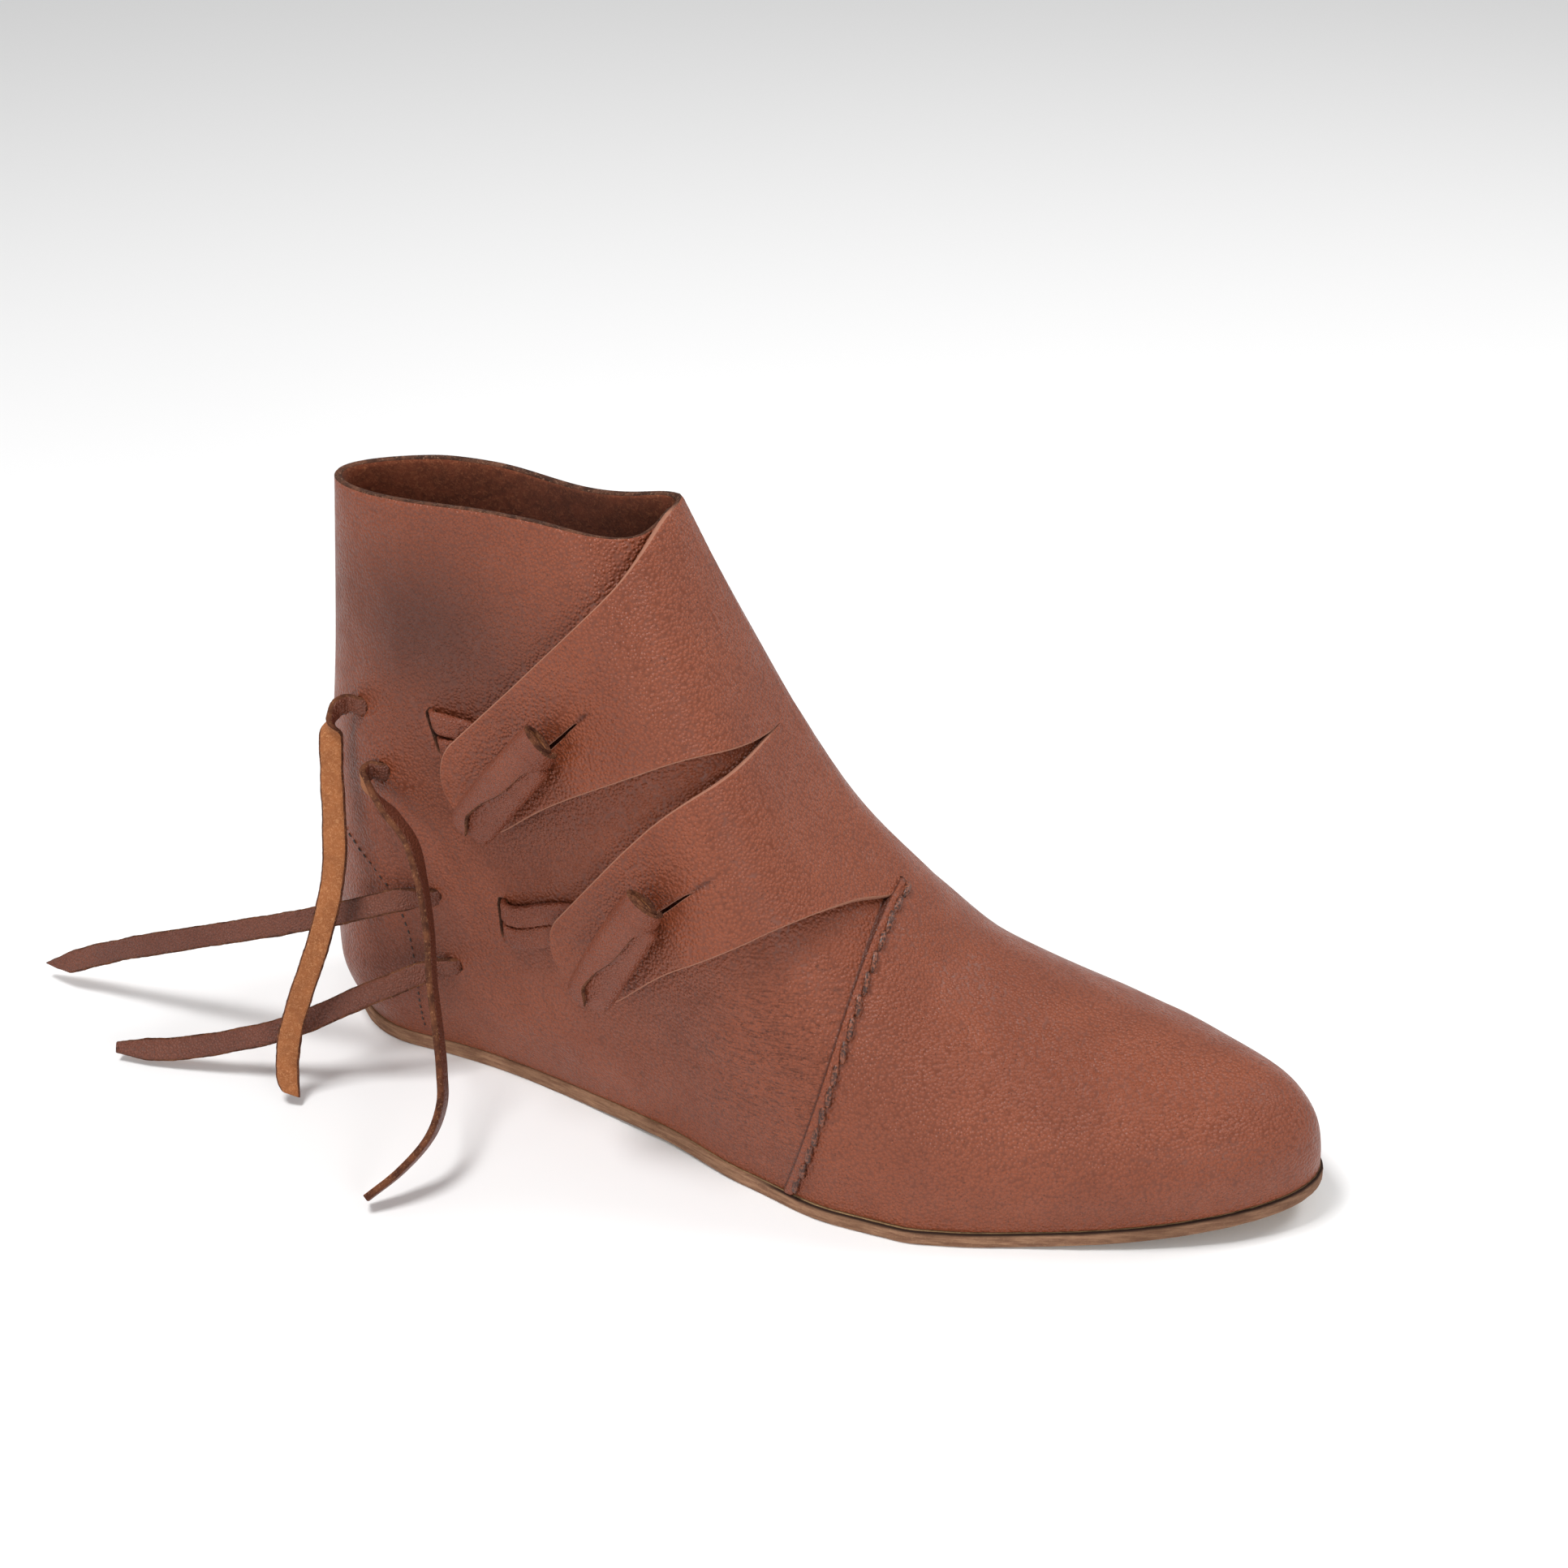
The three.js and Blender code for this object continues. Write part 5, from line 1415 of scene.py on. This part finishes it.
def rim_nearness(points, faces, reach):
    """One at a sheet's open edges, fading to nothing over a reach."""
    edges = boundary_edges(faces)
    rim = sorted({v for edge in edges for v in edge})
    tree = KDTree(len(rim))
    for v in rim:
        tree.insert(points[v], v)
    tree.balance()
    distance = np.array([tree.find(point)[2] for point in points])
    return np.clip(1 - distance / reach, 0, 1)


RIM_ROUND = 0.35
points, faces, lots = upper_sheet()
near_rim = rim_nearness(points, faces, 1.2)
points, faces, indices, source = thick_sheet(points, faces, LEATHER, RIM_ROUND, feather)
upper = new_object("upper_leather_wall", points, faces, [upper_grain, upper_suede, upper_edge], indices)
set_attribute(upper, "rim", near_rim[source])
for name in ("painted_groove_shade", "wrinkle", "flap", "painted_shade"):
    set_attribute(upper, name, lots[name][source])
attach(upper, "root")
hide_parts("upper")


# Sole and insole

SOLE_STEPS, SOLE_ACROSS = 260, 12
SOLE_EDGE_ROUND = 0.7
EDGE_ROUGH, LAYER_ROUGH = 0.12, 0.1
TOE_DARK = 0.75
# The painted shade at the top of the sole's edge: the height where it starts and its fade, then where it
# starts towards the toe and its fade
GAP_SHADE_LOW, GAP_SHADE_FADE = 0.78, 0.15
GAP_START, GAP_FADE = 140, 15


def sole_outline(steps):
    a = (1 - np.cos(np.linspace(0, math.pi, steps + 1))) / 2
    x = mix(SOLE_HEEL_INSET, SHOE_LENGTH, a)
    lateral_side = np.stack([x, -sole_half(LATERAL, x)], 1)
    medial_side = np.stack([x, sole_half(MEDIAL, x)], 1)
    return np.concatenate([lateral_side, medial_side[-2:0:-1]])


def round_noise(draws, count, width):
    """Random values round a closed outline, each the mean of its neighbours over a width."""
    values = np.tile(draws.normal(size=count), 3)
    return np.convolve(values, np.ones(width) / width, "same")[count:2 * count]


def add_sole():
    """The sole: its raw edge in fibrous layers, its faces filled by rings of the same outline."""
    outline = sole_outline(SOLE_STEPS)
    count = len(outline)
    ahead, behind = np.roll(outline, -1, 0), np.roll(outline, 1, 0)
    run = unit(ahead - behind)
    out = np.stack([run[:, 1], -run[:, 0]], 1)
    middle = outline.mean(0)
    draws = np.random.default_rng(5)
    rough = round_noise(draws, count, 7)
    heights = [0.0, 0.05, 0.22, 0.4, 0.6, 0.8, 0.95, 1.0]
    insets = [SOLE_EDGE_ROUND, 0.15, -0.05, 0.0, 0.05, 0.0, 0.2, SOLE_EDGE_ROUND]
    rings, parts = [], []
    for height, inset in zip(heights, insets):
        layer = round_noise(draws, count, 5)
        moved = outline - out * (inset + EDGE_ROUGH * np.abs(rough) + LAYER_ROUGH * np.abs(layer))[:, None]
        z = sole_bottom(outline[:, 0]) + height * (SOLE_THICKNESS - SEAT)
        rings.append(np.column_stack([moved, z]))
    everything = tube_faces(len(rings), count, caps=False)
    points, indices = [np.concatenate(rings)], [0] * len(everything)
    for edge_ring, height, flip in ((0, 0.0, True), (len(rings) - 1, 1.0, False)):
        edge = rings[edge_ring][:, :2]
        previous = np.arange(count) + edge_ring * count
        for j in range(1, SOLE_ACROSS + 1):
            share = j / SOLE_ACROSS
            spine = np.column_stack([edge[:, 0], np.full(count, middle[1])])
            spot = mix(edge, mix(spine, middle[None], share**2), share)
            z = sole_bottom(spot[:, 0]) + height * (SOLE_THICKNESS - SEAT)
            start = sum(len(p) for p in points)
            points.append(np.column_stack([spot, z]))
            current = np.arange(count) + start
            for i in range(count):
                k = (i + 1) % count
                face = [previous[i], previous[k], current[k], current[i]]
                everything.append(face[::-1] if flip else face)
                indices.append(1)
            previous = current
    points = np.concatenate(points)
    thing = new_object("sole_plate", points, everything, [sole_side, sole_face], indices)
    set_attribute(thing, "toe", smooth((points[:, 0] / SHOE_LENGTH - TOE_DARK) / (1 - TOE_DARK)))
    # Painted shade at the top of the sole's edge, from the middle to the toe
    level = (points[:, 2] - sole_bottom(points[:, 0])) / (SOLE_THICKNESS - SEAT)
    gap = smooth((points[:, 0] - GAP_START) / GAP_FADE)
    set_attribute(thing, "painted_gap_shade", smooth((level - GAP_SHADE_LOW) / GAP_SHADE_FADE) * gap)
    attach(thing, "root")
    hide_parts("sole")
    return thing


add_sole()
NODES["insole"].data.materials.clear()
NODES["insole"].data.materials.append(lining)


# Stitches

STITCH_SIDES, STITCH_RINGS = 8, 9
STITCH_TIP = 0.02
STITCH_STRAY, PITCH_STRAY = (0.08, 0.05, 0.05), 0.04
SEAM_STITCH = {"pitch": 6.2, "long": 7.6, "thick": 1.8, "lean": 0.17, "raised": 0.65}
HEEL_STITCH = {"pitch": 2.5, "long": 1.7, "thick": 0.5, "lean": 0.04, "raised": 0.05}


def stitch_mesh(centre, run, across, out, long, thick, lean):
    """One stitch: a spindle of thread that leans across the line of the seam and bends into the leather."""
    way = unit(run * math.cos(lean) + across * math.sin(lean))
    over = unit(np.cross(out, way))
    rings = []
    for t in np.linspace(-1, 1, STITCH_RINGS):
        middle = centre + way * (t * long / 2) - out * (thick * 0.9 * abs(t) ** 3)
        radius = thick / 2 * math.sqrt(1 - abs(t) ** 3) + STITCH_TIP
        for turn in np.linspace(0, 2 * math.pi, STITCH_SIDES, endpoint=False):
            rings.append(middle + over * (radius * math.cos(turn)) + out * (radius * math.sin(turn)))
    faces = tube_faces(STITCH_RINGS, STITCH_SIDES)
    return np.array(rings), faces, [0] * len(faces)


def stitch_row(name, line, size, material, start, seed):
    """Stitches at even steps along a line on the outer side, given in the side view."""
    draws = np.random.default_rng(seed)
    spots = np.stack([line[:, 0], -body_half(LATERAL, line[:, 0], line[:, 1]), line[:, 1]], 1)
    run = run_along(spots)
    parts = []
    at = start
    while at < run[-1] - size["long"] / 3:
        x, z = evenly([at], run, line)[0]
        point, _, _, normal = on_face(x, z, size["raised"])
        behind, ahead = evenly([at - PROBE, at + PROBE], run, spots)
        way = unit(ahead - behind)
        across = unit(np.cross(normal, way))
        stray = draws.normal(size=3) * STITCH_STRAY
        centre = point + across * stray[0]
        long, lean = size["long"] * (1 + stray[1]), size["lean"] + stray[2]
        parts.append(stitch_mesh(centre, way, across, normal, long, size["thick"], lean))
        at += size["pitch"] * (1 + draws.normal() * PITCH_STRAY)
    thing = joined(name, parts, [material])
    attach(thing, "root")
    return thing


def seam_line(ring):
    """The seam's edge in the side view, from the throat down to the sole."""
    points = even_line(LATERAL, ring, 120)[::-1]
    return points[:, [0, 2]]


SEAM_STITCH_RING = SEAM_RING + 0.02
stitch_row("seam_stitches", seam_line(SEAM_STITCH_RING)[3:-1], SEAM_STITCH, seam_thread, start=1.5, seed=3)
HEEL_STITCHES = [(12, 67.1), (18.5, 63.9), (25, 59.6), (29.9, 55.0), (34.2, 46.5), (36.3, 36.5),
                 (37, 25), (36.6, 14), (36.2, 7)]
heel_line, _ = threaded(np.array(HEEL_STITCHES, float), 40)
stitch_row("heel_stitches", heel_line, HEEL_STITCH, dark_thread, start=0.0, seed=4)


# Stage: a pale floor, soft lights and a white surround

MIDDLE = (0.1, 0.0, 0.06)
SURROUND = 0.46


def add_light(name, position, size, power):
    """A soft rectangular light that faces the shoe's middle."""
    light = bpy.data.lights.new(name, "AREA")
    light.shape = "RECTANGLE"
    light.size, light.size_y = size
    light.energy = power
    thing = bpy.data.objects.new(name, light)
    thing.location = position
    aim = Vector(MIDDLE) - Vector(position)
    thing.rotation_euler = aim.to_track_quat("-Z", "Y").to_euler()
    bpy.context.scene.collection.objects.link(thing)


floor_look = Look("floor", roughness=0.9, specular=0.1)
floor_look.shader.inputs["Base Color"].default_value = (0.9, 0.9, 0.9, 1)
floor_mesh = bpy.data.meshes.new("floor")
FLOOR_REACH = 4.0
corners = [(-FLOOR_REACH, -FLOOR_REACH, 0), (FLOOR_REACH, -FLOOR_REACH, 0),
           (FLOOR_REACH, FLOOR_REACH, 0), (-FLOOR_REACH, FLOOR_REACH, 0)]
floor_mesh.from_pydata(corners, [], [(0, 1, 2, 3)])
floor_mesh.materials.append(floor_look.material)
floor = bpy.data.objects.new("floor", floor_mesh)
bpy.context.scene.collection.objects.link(floor)

add_light("key", (-0.2, -0.3, 1.25), (0.35, 0.35), 11)
add_light("low", (-0.35, -1.1, 0.3), (0.5, 0.25), 2)
add_light("fill", (1.0, -0.85, 0.45), (0.5, 0.35), 4)
add_light("rim", (0.75, 0.55, 0.95), (0.5, 0.3), 5)
world = bpy.data.worlds.new("surround")
world.use_nodes = True
world.node_tree.nodes["Background"].inputs["Color"].default_value = (1, 1, 1, 1)
world.node_tree.nodes["Background"].inputs["Strength"].default_value = SURROUND
bpy.context.scene.world = world
bpy.context.scene.view_settings.view_transform = "Standard"
